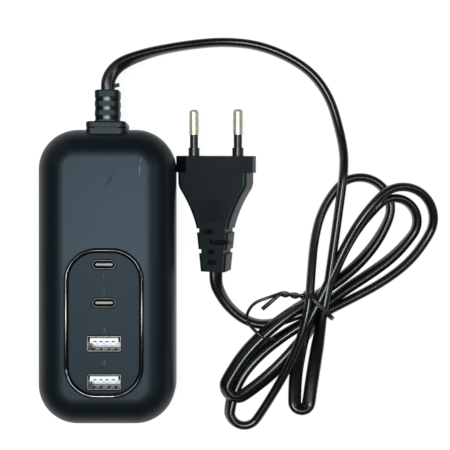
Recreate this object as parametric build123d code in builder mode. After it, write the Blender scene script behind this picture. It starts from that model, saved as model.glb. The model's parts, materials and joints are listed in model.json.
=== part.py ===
"""Desktop charger with four USB sockets, a flat two-core lead tied in a hank, and a two-pin plug.

The casing stands on the XY plane with its sockets facing +Z and its cord leaving towards +Y. The origin
is the middle of the casing's footprint. Lengths are in millimetres and angles in degrees.
"""
from build123d import *

import math
import os

os.makedirs("parts", exist_ok=True)

# Casing: two moulded shells that meet at a lip
BODY_WIDTH = 55.0
BODY_LENGTH = 118.0
BODY_HEIGHT = 29.2
CORNER_RADIUS = 16.0
TOP_ROUND = 11.5
BASE_ROUND = 10.0
WALL = 2.0
PARTING_HEIGHT = 14.0
LIP_HEIGHT = 1.5
LIP_THICKNESS = 0.9
FIT = 0.1

# Rubber feet, let into the base
FOOT_DIAMETER = 8.0
FOOT_PROUD = 0.8
FOOT_POCKET = 0.6
FOOT_EDGE = 1.0
FOOT_CHAMFER = 0.25

# Trim ring and socket panel
RING_MARGIN = 0.2
RING_LENGTH = 59.0
RING_END_FLAT = 6.0
RING_BEAD = 1.95
RING_PROUD = 0.98
RING_ROUND = 0.96
RING_SEAT = 0.9
PANEL_DROP = 0.2
PANEL_LAP = 0.8
PANEL_FLANGE = 1.6
CUTOUT_GAP = 0.2
CUTOUT_BEVEL = 0.25

# Sockets, standing upright with their mouths just under the panel's face
RING_END = 6.5
MIDDLE_PITCH = 16.0
MOUTH_DROP = 0.3
SHEET = 0.3
SHEET_EDGE = 0.2
USB_A_WIDTH = 13.2
USB_A_HEIGHT = 5.8
USB_A_DEPTH = 13.4
USB_A_CORNER = 0.6
USB_A_BASE = 3.0
USB_A_TONGUE_WIDTH = 11.1
USB_A_TONGUE = 2.2
USB_A_TONGUE_GAP = 0.35
USB_A_TONGUE_DROP = 0.5
USB_A_TONGUE_EDGE = 0.3
USB_A_CONTACTS = 4
USB_A_CONTACT_PITCH = 2.4
USB_A_CONTACT_WIDTH = 1.1
LEAF_PLACE = 3.0
LEAF_WIDTH = 1.8
LEAF_SLOT = 1.0
LEAF_DROP = 0.8
LEAF_LENGTH = 7.0
USB_C_WIDTH = 9.0
USB_C_HEIGHT = 3.3
USB_C_DEPTH = 8.0
USB_C_BASE_WIDTH = 10.0
USB_C_BASE_LENGTH = 5.0
USB_C_TONGUE_WIDTH = 6.7
USB_C_TONGUE = 0.8
USB_C_TONGUE_DROP = 0.5
USB_C_TONGUE_EDGE = 0.16
USB_C_CONTACTS = 12
USB_C_CONTACT_PITCH = 0.5
USB_C_CONTACT_WIDTH = 0.28
USB_C_CONTACT_LENGTH = 3.6
CONTACT_THICKNESS = 0.15

# Circuit boards
BOARD_THICKNESS = 1.6
BOARD_CLEAR = 0.5
BOARD_CORNER = 12.0
BOSS_HEIGHT = 2.2
BOSS_DIAMETER = 5.0
SCREW_ASIDE = 14.5
SCREW_BACK = 8.5
SCREW_DIAMETER = 1.6
SCREW_LENGTH = 3.4
SCREW_HEAD = 3.6
SCREW_HEAD_HEIGHT = 1.4
PORT_BOARD_ASIDE = 6.5
PORT_BOARD_MARGIN = 1.5
PORT_BOARD_CORNER = 4.0
POST_DIAMETER = 4.0
POST_ASIDE = 3.0
POST_MARGIN = 4.0
POST_HOLE_GAP = 0.4
HEADER_WIDTH = 2.5
HEADER_LENGTH = 12.7
HEADER_X = 15.0

# Parts on the main board: places under the socket board are from the socket panel's middle
PART_GAP = 0.4
PART_EDGE = 0.5
CORE_WIDTH = 22.0
CORE_DEPTH = 10.0
CORE_HEIGHT = 15.0
CORE_LEG = 6.0
CORE_BACK = 3.2
CORE_SIDE = 3.5
CORE_LIFT = 2.4
BOBBIN_WALL = 0.8
BOBBIN_LENGTH = 18.0
BOBBIN_GAP = 1.3
WINDING_MARGIN = 0.6
BULK_DIAMETER = 10.0
BULK_HEIGHT = 14.0
CAN_EDGE = 0.7
SINK_SIZE = (13.0, 1.2, 15.0)
SINK_X = -6.5
TRANSISTOR_SIZE = (10.0, 4.4, 14.0)
CHOKE_OUTER = 4.5
CHOKE_INNER = 2.4
CHOKE_WIDTH = 4.0
CHOKE_WIRE = 0.9
CHOKE_SPREAD = 100.0
FILM_SIZE = (13.0, 5.5, 11.0)
FILM_X = 9.1
DISC_DIAMETER = 8.0
DISC_THICKNESS = 3.6
DISC_ROUND = 1.2
DISC_X = 6.6
FUSE_DIAMETER = 8.0
FUSE_HEIGHT = 7.6
FUSE_ASIDE = 1.0
BRIDGE_SIZE = (9.0, 3.6, 8.0)
OPTO_SIZE = (6.4, 4.6, 3.4)
OPTO_X = -9.0
OUTPUT_DIAMETER = 6.3
OUTPUT_HEIGHT = 7.2
OUTPUT_ALONG = 14.8
OUTPUT_XS = (-12.0, -4.0, 4.0)
INDUCTOR_SIZE = (10.0, 10.0, 4.5)
INDUCTOR_X = -5.0
CHIP_SIZE = (5.0, 5.0, 0.9)
CHIP_X = 7.0
CONVERTERS_ALONG = (-0.2, -15.2)

# Flat two-core cord and the strain relief that is moulded on it
CORD_WIDTH = 5.7
CORD_THICKNESS = 3.55
CORD_GAP = 0.05
CORD_INSIDE = 6.0
CORE_WIRE = 1.6
CORE_SPACING = 2.4
CORE_BEND = 1.6
CORE_REACH = 2.6
RELIEF_HEIGHT = 17.0
RELIEF_BLOCK = 16.0
RELIEF_CORNER = 2.2
RELIEF_INSIDE = 4.0
RELIEF_WING = 2.0
RELIEF_WING_HEIGHT = 7.0
RELIEF_NECK = 13.0
RELIEF_NECK_LENGTH = 0.5
RELIEF_STEP = 0.2
RELIEF_FLANGE = 2.3
RELIEF_FLANGE_EDGE = 0.7
SLEEVE_WIDTH = 10.0
SLEEVE_HEIGHT = 9.4
SLEEVE_CORNER = 2.4
SLEEVE_LENGTH = 13.0
SLEEVE_EDGE = 0.6
SLEEVE_ROWS = 3
SLEEVE_ROW_PITCH = 3.75
SLEEVE_FIRST_ROW = 1.8
SLEEVE_SLOT = 1.8
SLEEVE_GROOVE = 0.2
SLEEVE_WINDOW = 2.2
SLEEVE_WINDOW_DEPTH = 2.4
SLEEVE_WEB = 2.9

# Two-pin plug, rolled on its side against the casing and resting on its shoulder and its tail
PLUG_ASIDE = 16.1
PLUG_BACK = 9.9
PLUG_ROLL = 18.0
PLUG_LIFT = 0.5
PLUG_LENGTH = 47.5
FLANGE_WIDTH = 33.0
FLANGE_FLAT = 21.0
FLANGE_HEIGHT = 13.7
FLANGE_END = 4.7
FLANGE_LENGTH = 6.8
GRIP_WIDTH = 29.4
GRIP_STRAIGHT = 10.5
SHOULDER_WIDTH = 27.2
SHOULDER_AT = 14.2
WAIST_BLEND = 8.0
WAIST_WIDTH = 14.2
WAIST_AT = 28.8
GRIP_HEIGHT = 12.2
TAIL_WIDTH = 10.6
TAIL_HEIGHT = 9.8
PLUG_EDGE = 1.3
NOTCH_DEPTH = 1.3
NOTCH_LENGTH = 1.8
NOTCH_PLACES = (30.6, 39.2)
SLOT_LENGTH = 1.9
RIB_COUNT = 8
RIB_PITCH = 1.1
RIB_START = 19.2
RIB_WIDTH = 10.0
RIB_GROOVE = 0.5
RIB_DEPTH = 0.6
PIN_PITCH = 19.0
PIN_DIAMETER = 4.0
PIN_LENGTH = 19.0
PIN_BARE = 10.3
PIN_CORE = 2.4
PIN_ROOT = 9.0
PIN_TIP = 1.2
SLEEVE_DIAMETER = 3.4
SLEEVE_ROOT = 4.6
SLEEVE_ROOT_LENGTH = 3.4

# Slots in both faces of the plug's tail (place along the plug, from and to across it, depth)
SLOTS = (
    (30.6, -6.2, -1.4, 0.5),
    (30.6, -1.4, 0.7, 2.4),
    (35.0, -0.9, 6.2, 2.4),
    (39.2, -6.2, -1.4, 0.5),
    (39.2, -1.4, 0.7, 2.4),
    (43.4, -1.6, 1.9, 1.2),
)

# Loose cord, hank and tie: their places are from the casing's corner at its cord end, on the plug's side
BEND_SHARE = 0.45
FLAT_UP = 0.0
ON_EDGE = 90.0

# Route of the cord from the strain relief to the hank, after a straight start
LEAD_STRAIGHT = 4.4
LEAD_ROUTE = (
    (-24.9, 25.0, 16.4),
    (-21.1, 28.0, 15.2),
    (-15.9, 30.6, 13.2),
    (-7.5, 33.8, 9.6),
    (5.0, 36.9, 5.2),
    (19.0, 38.6, 3.1),
    (33.0, 37.4, 2.95),
    (46.0, 32.6, 2.95),
    (56.8, 25.4, 2.95),
    (64.1, 14.8, 2.95),
    (67.9, 1.6, 3.2),
    (69.5, -8.0, 5.4),
    (69.0, -16.5, 9.0),
    (67.7, -26.5, 9.0),
    (66.1, -38.0, 8.9),
    (64.2, -51.0, 9.1),
)
LEAD_OFFSET = 2.0

# Route of the cord from the plug's tail to the hank, after a straight start
TAIL_STRAIGHT = 5.4
TAIL_ROUTE = (
    (17.9, -68.4, 3.7),
    (21.9, -73.9, 2.5),
    (27.9, -78.0, 2.4),
    (34.5, -79.5, 3.4),
    (40.9, -78.4, 5.6),
    (45.9, -76.8, 7.6),
)
TAIL_OFFSET = 5.0
TAIL_GAP = 0.9

# Hank: bands round six lobes, gathered at a waist (tip centre, radius at the cord's middle, band, height)
WAIST_ASIDE = 58.9
WAIST_BACK = 72.8
WAIST_TURN = -9.0
BUNDLE_WIDTH = 15.0
BUNDLE_LENGTH = 17.0
BUNDLE_HEIGHT = 11.6
BUNDLE_CORNER = 3.0
BUNDLE_LIFT = 1.2
LOBE_ROOT = 5.5
LOBE_OPENING = 13.0
LOBE_POINT = 0.7
LOBES = (
    (78.0, -30.5, 11.5, CORD_THICKNESS, CORD_WIDTH),
    (89.3, -37.5, 10.2, CORD_THICKNESS, CORD_WIDTH),
    (94.3, -36.0, 12.6, CORD_THICKNESS, CORD_WIDTH),
    (24.8, -107.0, 5.2, CORD_WIDTH, CORD_THICKNESS),
    (28.1, -116.4, 6.1, CORD_WIDTH, CORD_WIDTH),
    (51.8, -112.2, 3.9, CORD_WIDTH, CORD_WIDTH),
)

# Twist tie: a flat covered wire round the waist, with its ends twisted together
TIE_WIDTH = 2.4
TIE_THICKNESS = 0.8
TIE_GAP = 0.15
TIE_WIRE = 1.3
TIE_TWIST = 2.2
TIE_HEIGHT = 6.2
TIE_TWIST_END = (43.1, -67.4, 1.4)
TIE_LONG_END = (
    (38.1, -68.6, 1.0),
    (32.1, -70.6, 1.4),
    (29.1, -74.6, 4.6),
    (29.5, -78.6, 6.6),
    (32.1, -82.2, 7.0),
    (36.5, -85.4, 5.6),
)
TIE_SHORT_END = (
    (38.9, -70.6, 1.0),
    (35.5, -73.6, 0.8),
)

# Levels and outlines that follow from the sizes above
SHELL_TOP = FOOT_PROUD + BODY_HEIGHT
CEILING = SHELL_TOP - WALL
FLOOR = FOOT_PROUD + WALL
BODY_END = BODY_LENGTH / 2
RING_WIDTH = BODY_WIDTH - 2 * TOP_ROUND - 2 * RING_MARGIN
RING_CORNER = (RING_WIDTH - RING_END_FLAT) / 2
PANEL_Y = TOP_ROUND + RING_MARGIN + RING_LENGTH / 2 - BODY_END
MOUTH = SHELL_TOP - PANEL_DROP - MOUTH_DROP
PORT_BOARD_TOP = MOUTH - USB_A_DEPTH
PORT_BOARD_BASE = PORT_BOARD_TOP - BOARD_THICKNESS
MAIN_BOARD_BASE = FLOOR + BOSS_HEIGHT
MAIN_BOARD_TOP = MAIN_BOARD_BASE + BOARD_THICKNESS
LIKE_PITCH = RING_LENGTH / 2 - RING_END - MIDDLE_PITCH / 2
USB_C_YS = (PANEL_Y + MIDDLE_PITCH / 2 + LIKE_PITCH, PANEL_Y + MIDDLE_PITCH / 2)
USB_A_YS = (PANEL_Y - MIDDLE_PITCH / 2, PANEL_Y - MIDDLE_PITCH / 2 - LIKE_PITCH)
LEAF_REACH = (LEAF_WIDTH + LEAF_SLOT) / 2
LEAF_SLOT_XS = [side * LEAF_PLACE + edge * LEAF_REACH for side in (-1, 1) for edge in (-1, 1)]
FOOT_X = BODY_WIDTH / 2 - BASE_ROUND - FOOT_EDGE - FOOT_DIAMETER / 2
FOOT_Y = BODY_END - BASE_ROUND - FOOT_EDGE - FOOT_DIAMETER / 2
SCREW_X = BODY_WIDTH / 2 - SCREW_ASIDE
SCREW_Y = BODY_END - SCREW_BACK
SCREW_POINTS = [(x, y) for x in (-SCREW_X, SCREW_X) for y in (-SCREW_Y, SCREW_Y)]
PLUG_X = BODY_WIDTH / 2 + PLUG_ASIDE
PLUG_FRONT_Y = BODY_END - PLUG_BACK
WAIST_X = BODY_WIDTH / 2 + WAIST_ASIDE
WAIST_Y = BODY_END - WAIST_BACK
CORD_START = BODY_END - CORD_INSIDE
CORE_BEND_Y = CORD_START - CORE_REACH
PORT_BOARD_WIDTH = BODY_WIDTH - 2 * PORT_BOARD_ASIDE
PORT_BOARD_LENGTH = RING_LENGTH - 2 * PORT_BOARD_MARGIN
PORT_BOARD_END = PANEL_Y + PORT_BOARD_LENGTH / 2
POST_X = PORT_BOARD_WIDTH / 2 - POST_ASIDE
POST_REACH = PORT_BOARD_LENGTH / 2 - POST_MARGIN
POST_POINTS = [(x, PANEL_Y + y) for x in (-POST_X, POST_X) for y in (-POST_REACH, POST_REACH)]

# Places of the parts on the main board: the transformer follows the socket board, and the rest follow it
TRANSFORMER_Y = PORT_BOARD_END + BOBBIN_GAP + BOBBIN_LENGTH / 2
TRANSFORMER_END = TRANSFORMER_Y + BOBBIN_LENGTH / 2
BULK_X = CORE_WIDTH / 2 + PART_GAP + BULK_DIAMETER / 2
BULK_END = TRANSFORMER_Y + BULK_DIAMETER / 2
SINK_PLACE = (SINK_X, TRANSFORMER_END + PART_GAP + SINK_SIZE[1] / 2)
TRANSISTOR_PLACE = (SINK_X, SINK_PLACE[1] + SINK_SIZE[1] / 2 + TRANSISTOR_SIZE[1] / 2)
FILM_PLACE = (FILM_X, TRANSFORMER_END + PART_GAP + FILM_SIZE[1] / 2)
DISC_PLACE = (DISC_X, FILM_PLACE[1] + FILM_SIZE[1] / 2 + PART_GAP + DISC_THICKNESS / 2)
CHOKE_X = FILM_X + FILM_SIZE[0] / 2 + PART_GAP + CHOKE_WIDTH / 2 + CHOKE_WIRE
CHOKE_PLACE = (CHOKE_X, BULK_END + PART_GAP + CHOKE_OUTER + CHOKE_WIRE)
BRIDGE_PLACE = (-BULK_X, BULK_END + PART_GAP + BRIDGE_SIZE[1] / 2)
FUSE_Y = BRIDGE_PLACE[1] + BRIDGE_SIZE[1] / 2 + PART_GAP + FUSE_DIAMETER / 2
FUSE_PLACE = (-BULK_X - FUSE_ASIDE, FUSE_Y)
OPTO_PLACE = (OPTO_X, PORT_BOARD_END - PART_GAP - OPTO_SIZE[1] / 2)
OUTPUT_PLACES = [(x, PANEL_Y + OUTPUT_ALONG) for x in OUTPUT_XS]
INDUCTOR_PLACES = [(INDUCTOR_X, PANEL_Y + along) for along in CONVERTERS_ALONG]
CHIP_PLACES = [(CHIP_X, PANEL_Y + along) for along in CONVERTERS_ALONG]


def write(piece: BuildPart, name: str) -> None:
    """Labels a finished piece and writes it under its own name."""
    piece.part.label = name
    export_step(piece.part, f"parts/{name}.step")


def upright(y: float, height: float) -> Plane:
    """Plane across the casing at y, facing the cord end, with its origin on the middle line."""
    return Plane(origin=(0, y, height), x_dir=(1, 0, 0), z_dir=(0, 1, 0))


def casing_form(inset: float) -> Part:
    """Rounded block of the casing, drawn in on every side."""
    with BuildPart() as form:
        with BuildSketch(Plane.XY.offset(FOOT_PROUD + inset)):
            RectangleRounded(BODY_WIDTH - 2 * inset, BODY_LENGTH - 2 * inset, CORNER_RADIUS - inset)
        extrude(amount=BODY_HEIGHT - 2 * inset)
        fillet(form.faces().sort_by(Axis.Z)[-1].edges(), TOP_ROUND - inset)
        fillet(form.faces().sort_by(Axis.Z)[0].edges(), BASE_ROUND - inset)
    return form.part


def ring_outline(inset: float) -> None:
    """Draws the trim ring's outer outline, drawn in by an inset, in the current sketch."""
    RectangleRounded(RING_WIDTH - 2 * inset, RING_LENGTH - 2 * inset, RING_CORNER - inset)


def route_radii(points: list) -> list:
    """Arc radius at each inner point of a cord's route, as large as its two runs allow."""
    radii = []
    for before, here, after in zip(points, points[1:], points[2:]):
        run_in = Vector(here) - Vector(before)
        run_out = Vector(after) - Vector(here)
        half_turn = math.radians(run_in.get_angle(run_out)) / 2
        radii.append(BEND_SHARE * min(run_in.length, run_out.length) / math.tan(half_turn))
    return radii


def laid(points: tuple) -> list:
    """Points on the floor beside the casing, from their places beside its corner."""
    return [(BODY_WIDTH / 2 + x, BODY_END + y, z) for x, y, z in points]


outer_form = casing_form(0)
inner_form = casing_form(WALL)
parting = Plane.XY.offset(PARTING_HEIGHT)

# Upper shell: the domed half, open for the socket panel and for the strain relief
with BuildPart() as upper_shell:
    add(outer_form)
    add(inner_form, mode=Mode.SUBTRACT)
    split(bisect_by=parting, keep=Keep.TOP)
    with BuildSketch(parting):
        lip = LIP_THICKNESS + FIT
        RectangleRounded(
            BODY_WIDTH - 2 * WALL + 2 * lip, BODY_LENGTH - 2 * WALL + 2 * lip, CORNER_RADIUS - WALL + lip
        )
    extrude(amount=LIP_HEIGHT + FIT, mode=Mode.SUBTRACT)
    with BuildSketch(Plane.XY.offset(CEILING - FIT)):
        with Locations((0, PANEL_Y)):
            ring_outline(RING_SEAT)
    extrude(amount=WALL + 2 * FIT, mode=Mode.SUBTRACT)
    with BuildSketch(upright(BODY_END - RELIEF_INSIDE - TOP_ROUND, RELIEF_HEIGHT)):
        RectangleRounded(RELIEF_BLOCK + 2 * FIT, RELIEF_BLOCK + 2 * FIT, RELIEF_CORNER + FIT)
    extrude(amount=RELIEF_INSIDE + TOP_ROUND + FIT, mode=Mode.SUBTRACT)
write(upper_shell, "upper_shell")

# Lower shell: the base, with its lip, the bosses under the main board and the posts under the port board
with BuildPart() as lower_shell:
    add(outer_form)
    add(inner_form, mode=Mode.SUBTRACT)
    split(bisect_by=parting, keep=Keep.BOTTOM)
    with BuildSketch(parting):
        RectangleRounded(
            BODY_WIDTH - 2 * WALL + 2 * LIP_THICKNESS,
            BODY_LENGTH - 2 * WALL + 2 * LIP_THICKNESS,
            CORNER_RADIUS - WALL + LIP_THICKNESS,
        )
        RectangleRounded(
            BODY_WIDTH - 2 * WALL, BODY_LENGTH - 2 * WALL, CORNER_RADIUS - WALL, mode=Mode.SUBTRACT
        )
    extrude(amount=LIP_HEIGHT)
    with BuildSketch(Plane.XY.offset(FLOOR - WALL / 2)):
        with Locations(SCREW_POINTS):
            Circle(BOSS_DIAMETER / 2)
    extrude(amount=BOSS_HEIGHT + WALL / 2)
    with BuildSketch(Plane.XY.offset(FLOOR - WALL / 2)):
        with Locations(POST_POINTS):
            Circle(POST_DIAMETER / 2)
    extrude(amount=PORT_BOARD_BASE - FLOOR + WALL / 2)
    with BuildSketch(Plane.XY.offset(MAIN_BOARD_BASE)):
        with Locations(SCREW_POINTS):
            Circle(SCREW_DIAMETER / 2 + CORD_GAP)
    extrude(amount=BOARD_THICKNESS - SCREW_LENGTH - FIT, mode=Mode.SUBTRACT)
    with BuildSketch(Plane.XY.offset(FOOT_PROUD)):
        with GridLocations(2 * FOOT_X, 2 * FOOT_Y, 2, 2):
            Circle(FOOT_DIAMETER / 2 + FIT)
    extrude(amount=FOOT_POCKET, mode=Mode.SUBTRACT)
    with BuildSketch(upright(BODY_END - RELIEF_INSIDE - TOP_ROUND, RELIEF_HEIGHT)):
        RectangleRounded(RELIEF_BLOCK + 2 * FIT, RELIEF_BLOCK + 2 * FIT, RELIEF_CORNER + FIT)
    extrude(amount=RELIEF_INSIDE + TOP_ROUND + FIT, mode=Mode.SUBTRACT)
write(lower_shell, "lower_shell")

# Feet: rubber discs let into the base
with BuildPart() as feet:
    with BuildSketch():
        with GridLocations(2 * FOOT_X, 2 * FOOT_Y, 2, 2):
            Circle(FOOT_DIAMETER / 2)
    extrude(amount=FOOT_PROUD + FOOT_POCKET)
    chamfer(feet.faces().group_by(Axis.Z)[0].edges(), FOOT_CHAMFER)
write(feet, "feet")

# Trim ring: a rounded bead on the casing, with a skirt down through its opening
with BuildPart() as trim_ring:
    with BuildSketch(Plane.XY.offset(SHELL_TOP)):
        with Locations((0, PANEL_Y)):
            ring_outline(0)
            RectangleRounded(
                RING_WIDTH - 2 * RING_BEAD, RING_LENGTH - 2 * RING_BEAD, RING_CORNER - RING_BEAD,
                mode=Mode.SUBTRACT,
            )
    extrude(amount=RING_PROUD)
    fillet(trim_ring.faces().sort_by(Axis.Z)[-1].edges(), RING_ROUND)
    with BuildSketch(Plane.XY.offset(CEILING)):
        with Locations((0, PANEL_Y)):
            ring_outline(RING_SEAT + FIT)
            RectangleRounded(
                RING_WIDTH - 2 * RING_BEAD, RING_LENGTH - 2 * RING_BEAD, RING_CORNER - RING_BEAD,
                mode=Mode.SUBTRACT,
            )
    extrude(amount=WALL)
write(trim_ring, "trim_ring")

# Port panel: the face inside the ring, on a flange that bears on the underside of the casing
with BuildPart() as port_panel:
    with BuildSketch(Plane.XY.offset(CEILING)):
        with Locations((0, PANEL_Y)):
            ring_outline(RING_BEAD + FIT)
    extrude(amount=WALL - PANEL_DROP)
    with BuildSketch(Plane.XY.offset(CEILING)):
        with Locations((0, PANEL_Y)):
            ring_outline(RING_SEAT - PANEL_LAP)
    extrude(amount=-PANEL_FLANGE)
    with BuildSketch(Plane.XY.offset(SHELL_TOP - PANEL_DROP)):
        with Locations(*[(0, y) for y in USB_A_YS]):
            RectangleRounded(
                USB_A_WIDTH + 2 * CUTOUT_GAP, USB_A_HEIGHT + 2 * CUTOUT_GAP, USB_A_CORNER + CUTOUT_GAP
            )
        with Locations(*[(0, y) for y in USB_C_YS]):
            SlotOverall(USB_C_WIDTH + 2 * CUTOUT_GAP, USB_C_HEIGHT + 2 * CUTOUT_GAP)
    extrude(amount=-(WALL - PANEL_DROP + PANEL_FLANGE), mode=Mode.SUBTRACT)
    rims = port_panel.faces().sort_by(Axis.Z)[-1].inner_wires().edges()
    chamfer(rims, CUTOUT_BEVEL)
write(port_panel, "port_panel")

# Port board: carries the sockets on the posts of the lower shell
with BuildPart() as port_board:
    with BuildSketch(Plane.XY.offset(PORT_BOARD_BASE)):
        with Locations((0, PANEL_Y)):
            RectangleRounded(PORT_BOARD_WIDTH, PORT_BOARD_LENGTH, PORT_BOARD_CORNER)
    extrude(amount=BOARD_THICKNESS)
write(port_board, "port_board")

# Rectangular sockets: folded shell with two spring leaves, moulded base with its tongue, contact strips
for number, socket_y in enumerate(USB_A_YS, start=1):
    cavity_width = USB_A_WIDTH - 2 * SHEET
    cavity_height = USB_A_HEIGHT - 2 * SHEET
    tongue_top = socket_y + cavity_height / 2 - USB_A_TONGUE_GAP
    contact_face = tongue_top - USB_A_TONGUE

    with BuildPart() as usb_a_shell:
        with BuildSketch(Plane.XY.offset(PORT_BOARD_TOP)):
            with Locations((0, socket_y)):
                RectangleRounded(USB_A_WIDTH, USB_A_HEIGHT, USB_A_CORNER)
                RectangleRounded(cavity_width, cavity_height, USB_A_CORNER - SHEET, mode=Mode.SUBTRACT)
        extrude(amount=USB_A_DEPTH)
        chamfer(usb_a_shell.faces().sort_by(Axis.Z)[-1].inner_wires().edges(), SHEET_EDGE)
        with BuildSketch(Plane.XZ.offset(cavity_height / 2 - socket_y)):
            with Locations(*[(x, MOUTH - LEAF_DROP - LEAF_LENGTH / 2) for x in LEAF_SLOT_XS]):
                Rectangle(LEAF_SLOT, LEAF_LENGTH)
        extrude(amount=SHEET, mode=Mode.SUBTRACT)
    write(usb_a_shell, f"usb_a_shell_{number}")

    with BuildPart() as usb_a_tongue:
        with BuildSketch(Plane.XY.offset(PORT_BOARD_TOP)):
            with Locations((0, socket_y)):
                RectangleRounded(
                    cavity_width - 2 * CORD_GAP, cavity_height - 2 * CORD_GAP, USB_A_CORNER - SHEET
                )
        extrude(amount=USB_A_BASE)
        with BuildSketch(Plane.XY.offset(PORT_BOARD_TOP)):
            with Locations((0, tongue_top - USB_A_TONGUE / 2)):
                Rectangle(USB_A_TONGUE_WIDTH, USB_A_TONGUE)
        extrude(amount=USB_A_DEPTH - USB_A_TONGUE_DROP)
        tip = usb_a_tongue.faces().sort_by(Axis.Z)[-1]
        chamfer(tip.edges().filter_by(Axis.X), USB_A_TONGUE_EDGE)
    write(usb_a_tongue, f"usb_a_tongue_{number}")

    with BuildPart() as usb_a_contacts:
        with BuildSketch(Plane.XY.offset(PORT_BOARD_TOP + USB_A_BASE)):
            with Locations((0, contact_face - CONTACT_THICKNESS / 2)):
                with GridLocations(USB_A_CONTACT_PITCH, 0, USB_A_CONTACTS, 1):
                    Rectangle(USB_A_CONTACT_WIDTH, CONTACT_THICKNESS)
        extrude(amount=USB_A_DEPTH - USB_A_BASE - 2 * USB_A_TONGUE_DROP)
    write(usb_a_contacts, f"usb_a_contacts_{number}")

# Oval sockets: a moulded base lifts the drawn shell to the panel, with the tongue in the middle
for number, socket_y in enumerate(USB_C_YS, start=1):
    base_top = MOUTH - USB_C_DEPTH

    with BuildPart() as usb_c_shell:
        with BuildSketch(Plane.XY.offset(base_top)):
            with Locations((0, socket_y)):
                SlotOverall(USB_C_WIDTH, USB_C_HEIGHT)
                SlotOverall(USB_C_WIDTH - 2 * SHEET, USB_C_HEIGHT - 2 * SHEET, mode=Mode.SUBTRACT)
        extrude(amount=USB_C_DEPTH)
        chamfer(usb_c_shell.faces().sort_by(Axis.Z)[-1].inner_wires().edges(), SHEET_EDGE)
    write(usb_c_shell, f"usb_c_shell_{number}")

    with BuildPart() as usb_c_tongue:
        with BuildSketch(Plane.XY.offset(PORT_BOARD_TOP)):
            with Locations((0, socket_y)):
                RectangleRounded(USB_C_BASE_WIDTH, USB_C_BASE_LENGTH, PART_EDGE)
        extrude(amount=base_top - PORT_BOARD_TOP)
        with BuildSketch(Plane.XY.offset(base_top)):
            with Locations((0, socket_y)):
                Rectangle(USB_C_TONGUE_WIDTH, USB_C_TONGUE)
        extrude(amount=USB_C_DEPTH - USB_C_TONGUE_DROP)
        tip = usb_c_tongue.faces().sort_by(Axis.Z)[-1]
        chamfer(tip.edges().filter_by(Axis.X), USB_C_TONGUE_EDGE)
    write(usb_c_tongue, f"usb_c_tongue_{number}")

    with BuildPart() as usb_c_contacts:
        contact_top = MOUTH - 2 * USB_C_TONGUE_DROP
        with BuildSketch(Plane.XY.offset(contact_top)):
            with Locations((0, socket_y)):
                rows = USB_C_TONGUE + CONTACT_THICKNESS
                with GridLocations(USB_C_CONTACT_PITCH, rows, USB_C_CONTACTS, 2):
                    Rectangle(USB_C_CONTACT_WIDTH, CONTACT_THICKNESS)
        extrude(amount=-USB_C_CONTACT_LENGTH)
    write(usb_c_contacts, f"usb_c_contacts_{number}")

# Main board: follows the casing's curved floor, with holes for the posts
floor_round = BASE_ROUND - WALL
floor_inset = floor_round - math.sqrt(floor_round**2 - (floor_round - BOSS_HEIGHT) ** 2)
board_inset = WALL + floor_inset + BOARD_CLEAR
with BuildPart() as main_board:
    with BuildSketch(Plane.XY.offset(MAIN_BOARD_BASE)):
        RectangleRounded(BODY_WIDTH - 2 * board_inset, BODY_LENGTH - 2 * board_inset, BOARD_CORNER)
        with Locations(POST_POINTS):
            Circle(POST_DIAMETER / 2 + POST_HOLE_GAP, mode=Mode.SUBTRACT)
        with Locations(SCREW_POINTS):
            Circle(SCREW_DIAMETER / 2 + FIT, mode=Mode.SUBTRACT)
    extrude(amount=BOARD_THICKNESS)
write(main_board, "main_board")

# Board screws: pan heads on the board, threads in the bosses
with BuildPart() as board_screws:
    with BuildSketch(Plane.XY.offset(MAIN_BOARD_TOP)):
        with Locations(SCREW_POINTS):
            Circle(SCREW_HEAD / 2)
    extrude(amount=SCREW_HEAD_HEIGHT)
    fillet(board_screws.faces().group_by(Axis.Z)[-1].edges(), SCREW_HEAD_HEIGHT / 2)
    with BuildSketch(Plane.XY.offset(MAIN_BOARD_TOP)):
        with Locations(SCREW_POINTS):
            Circle(SCREW_DIAMETER / 2)
    extrude(amount=-SCREW_LENGTH)
write(board_screws, "board_screws")

# Board header: two spacers with the pins that join the boards
with BuildPart() as board_header:
    with BuildSketch(Plane.XY.offset(MAIN_BOARD_TOP)):
        with Locations((-HEADER_X, PANEL_Y), (HEADER_X, PANEL_Y)):
            Rectangle(HEADER_WIDTH, HEADER_LENGTH)
    extrude(amount=PORT_BOARD_BASE - MAIN_BOARD_TOP)
write(board_header, "board_header")

# Transformer: a core of two halves round the middle of a bobbin that stands on two rails
core_base = MAIN_BOARD_TOP + CORE_LIFT
window_width = CORE_WIDTH / 2 - CORE_SIDE - CORE_LEG / 2
window_base = core_base + CORE_BACK
window_height = CORE_HEIGHT - 2 * CORE_BACK
window_middle = CORE_LEG / 2 + window_width / 2
bobbin_width = CORE_LEG + 2 * window_width - 2 * FIT
with BuildPart() as transformer_core:
    with BuildSketch(Plane.XY.offset(core_base)):
        with Locations((0, TRANSFORMER_Y)):
            Rectangle(CORE_WIDTH, CORE_DEPTH)
    extrude(amount=CORE_HEIGHT)
    with BuildSketch(Plane.XY.offset(window_base)):
        with Locations((-window_middle, TRANSFORMER_Y), (window_middle, TRANSFORMER_Y)):
            Rectangle(window_width, CORE_DEPTH)
    extrude(amount=window_height, mode=Mode.SUBTRACT)
write(transformer_core, "transformer_core")

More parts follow.
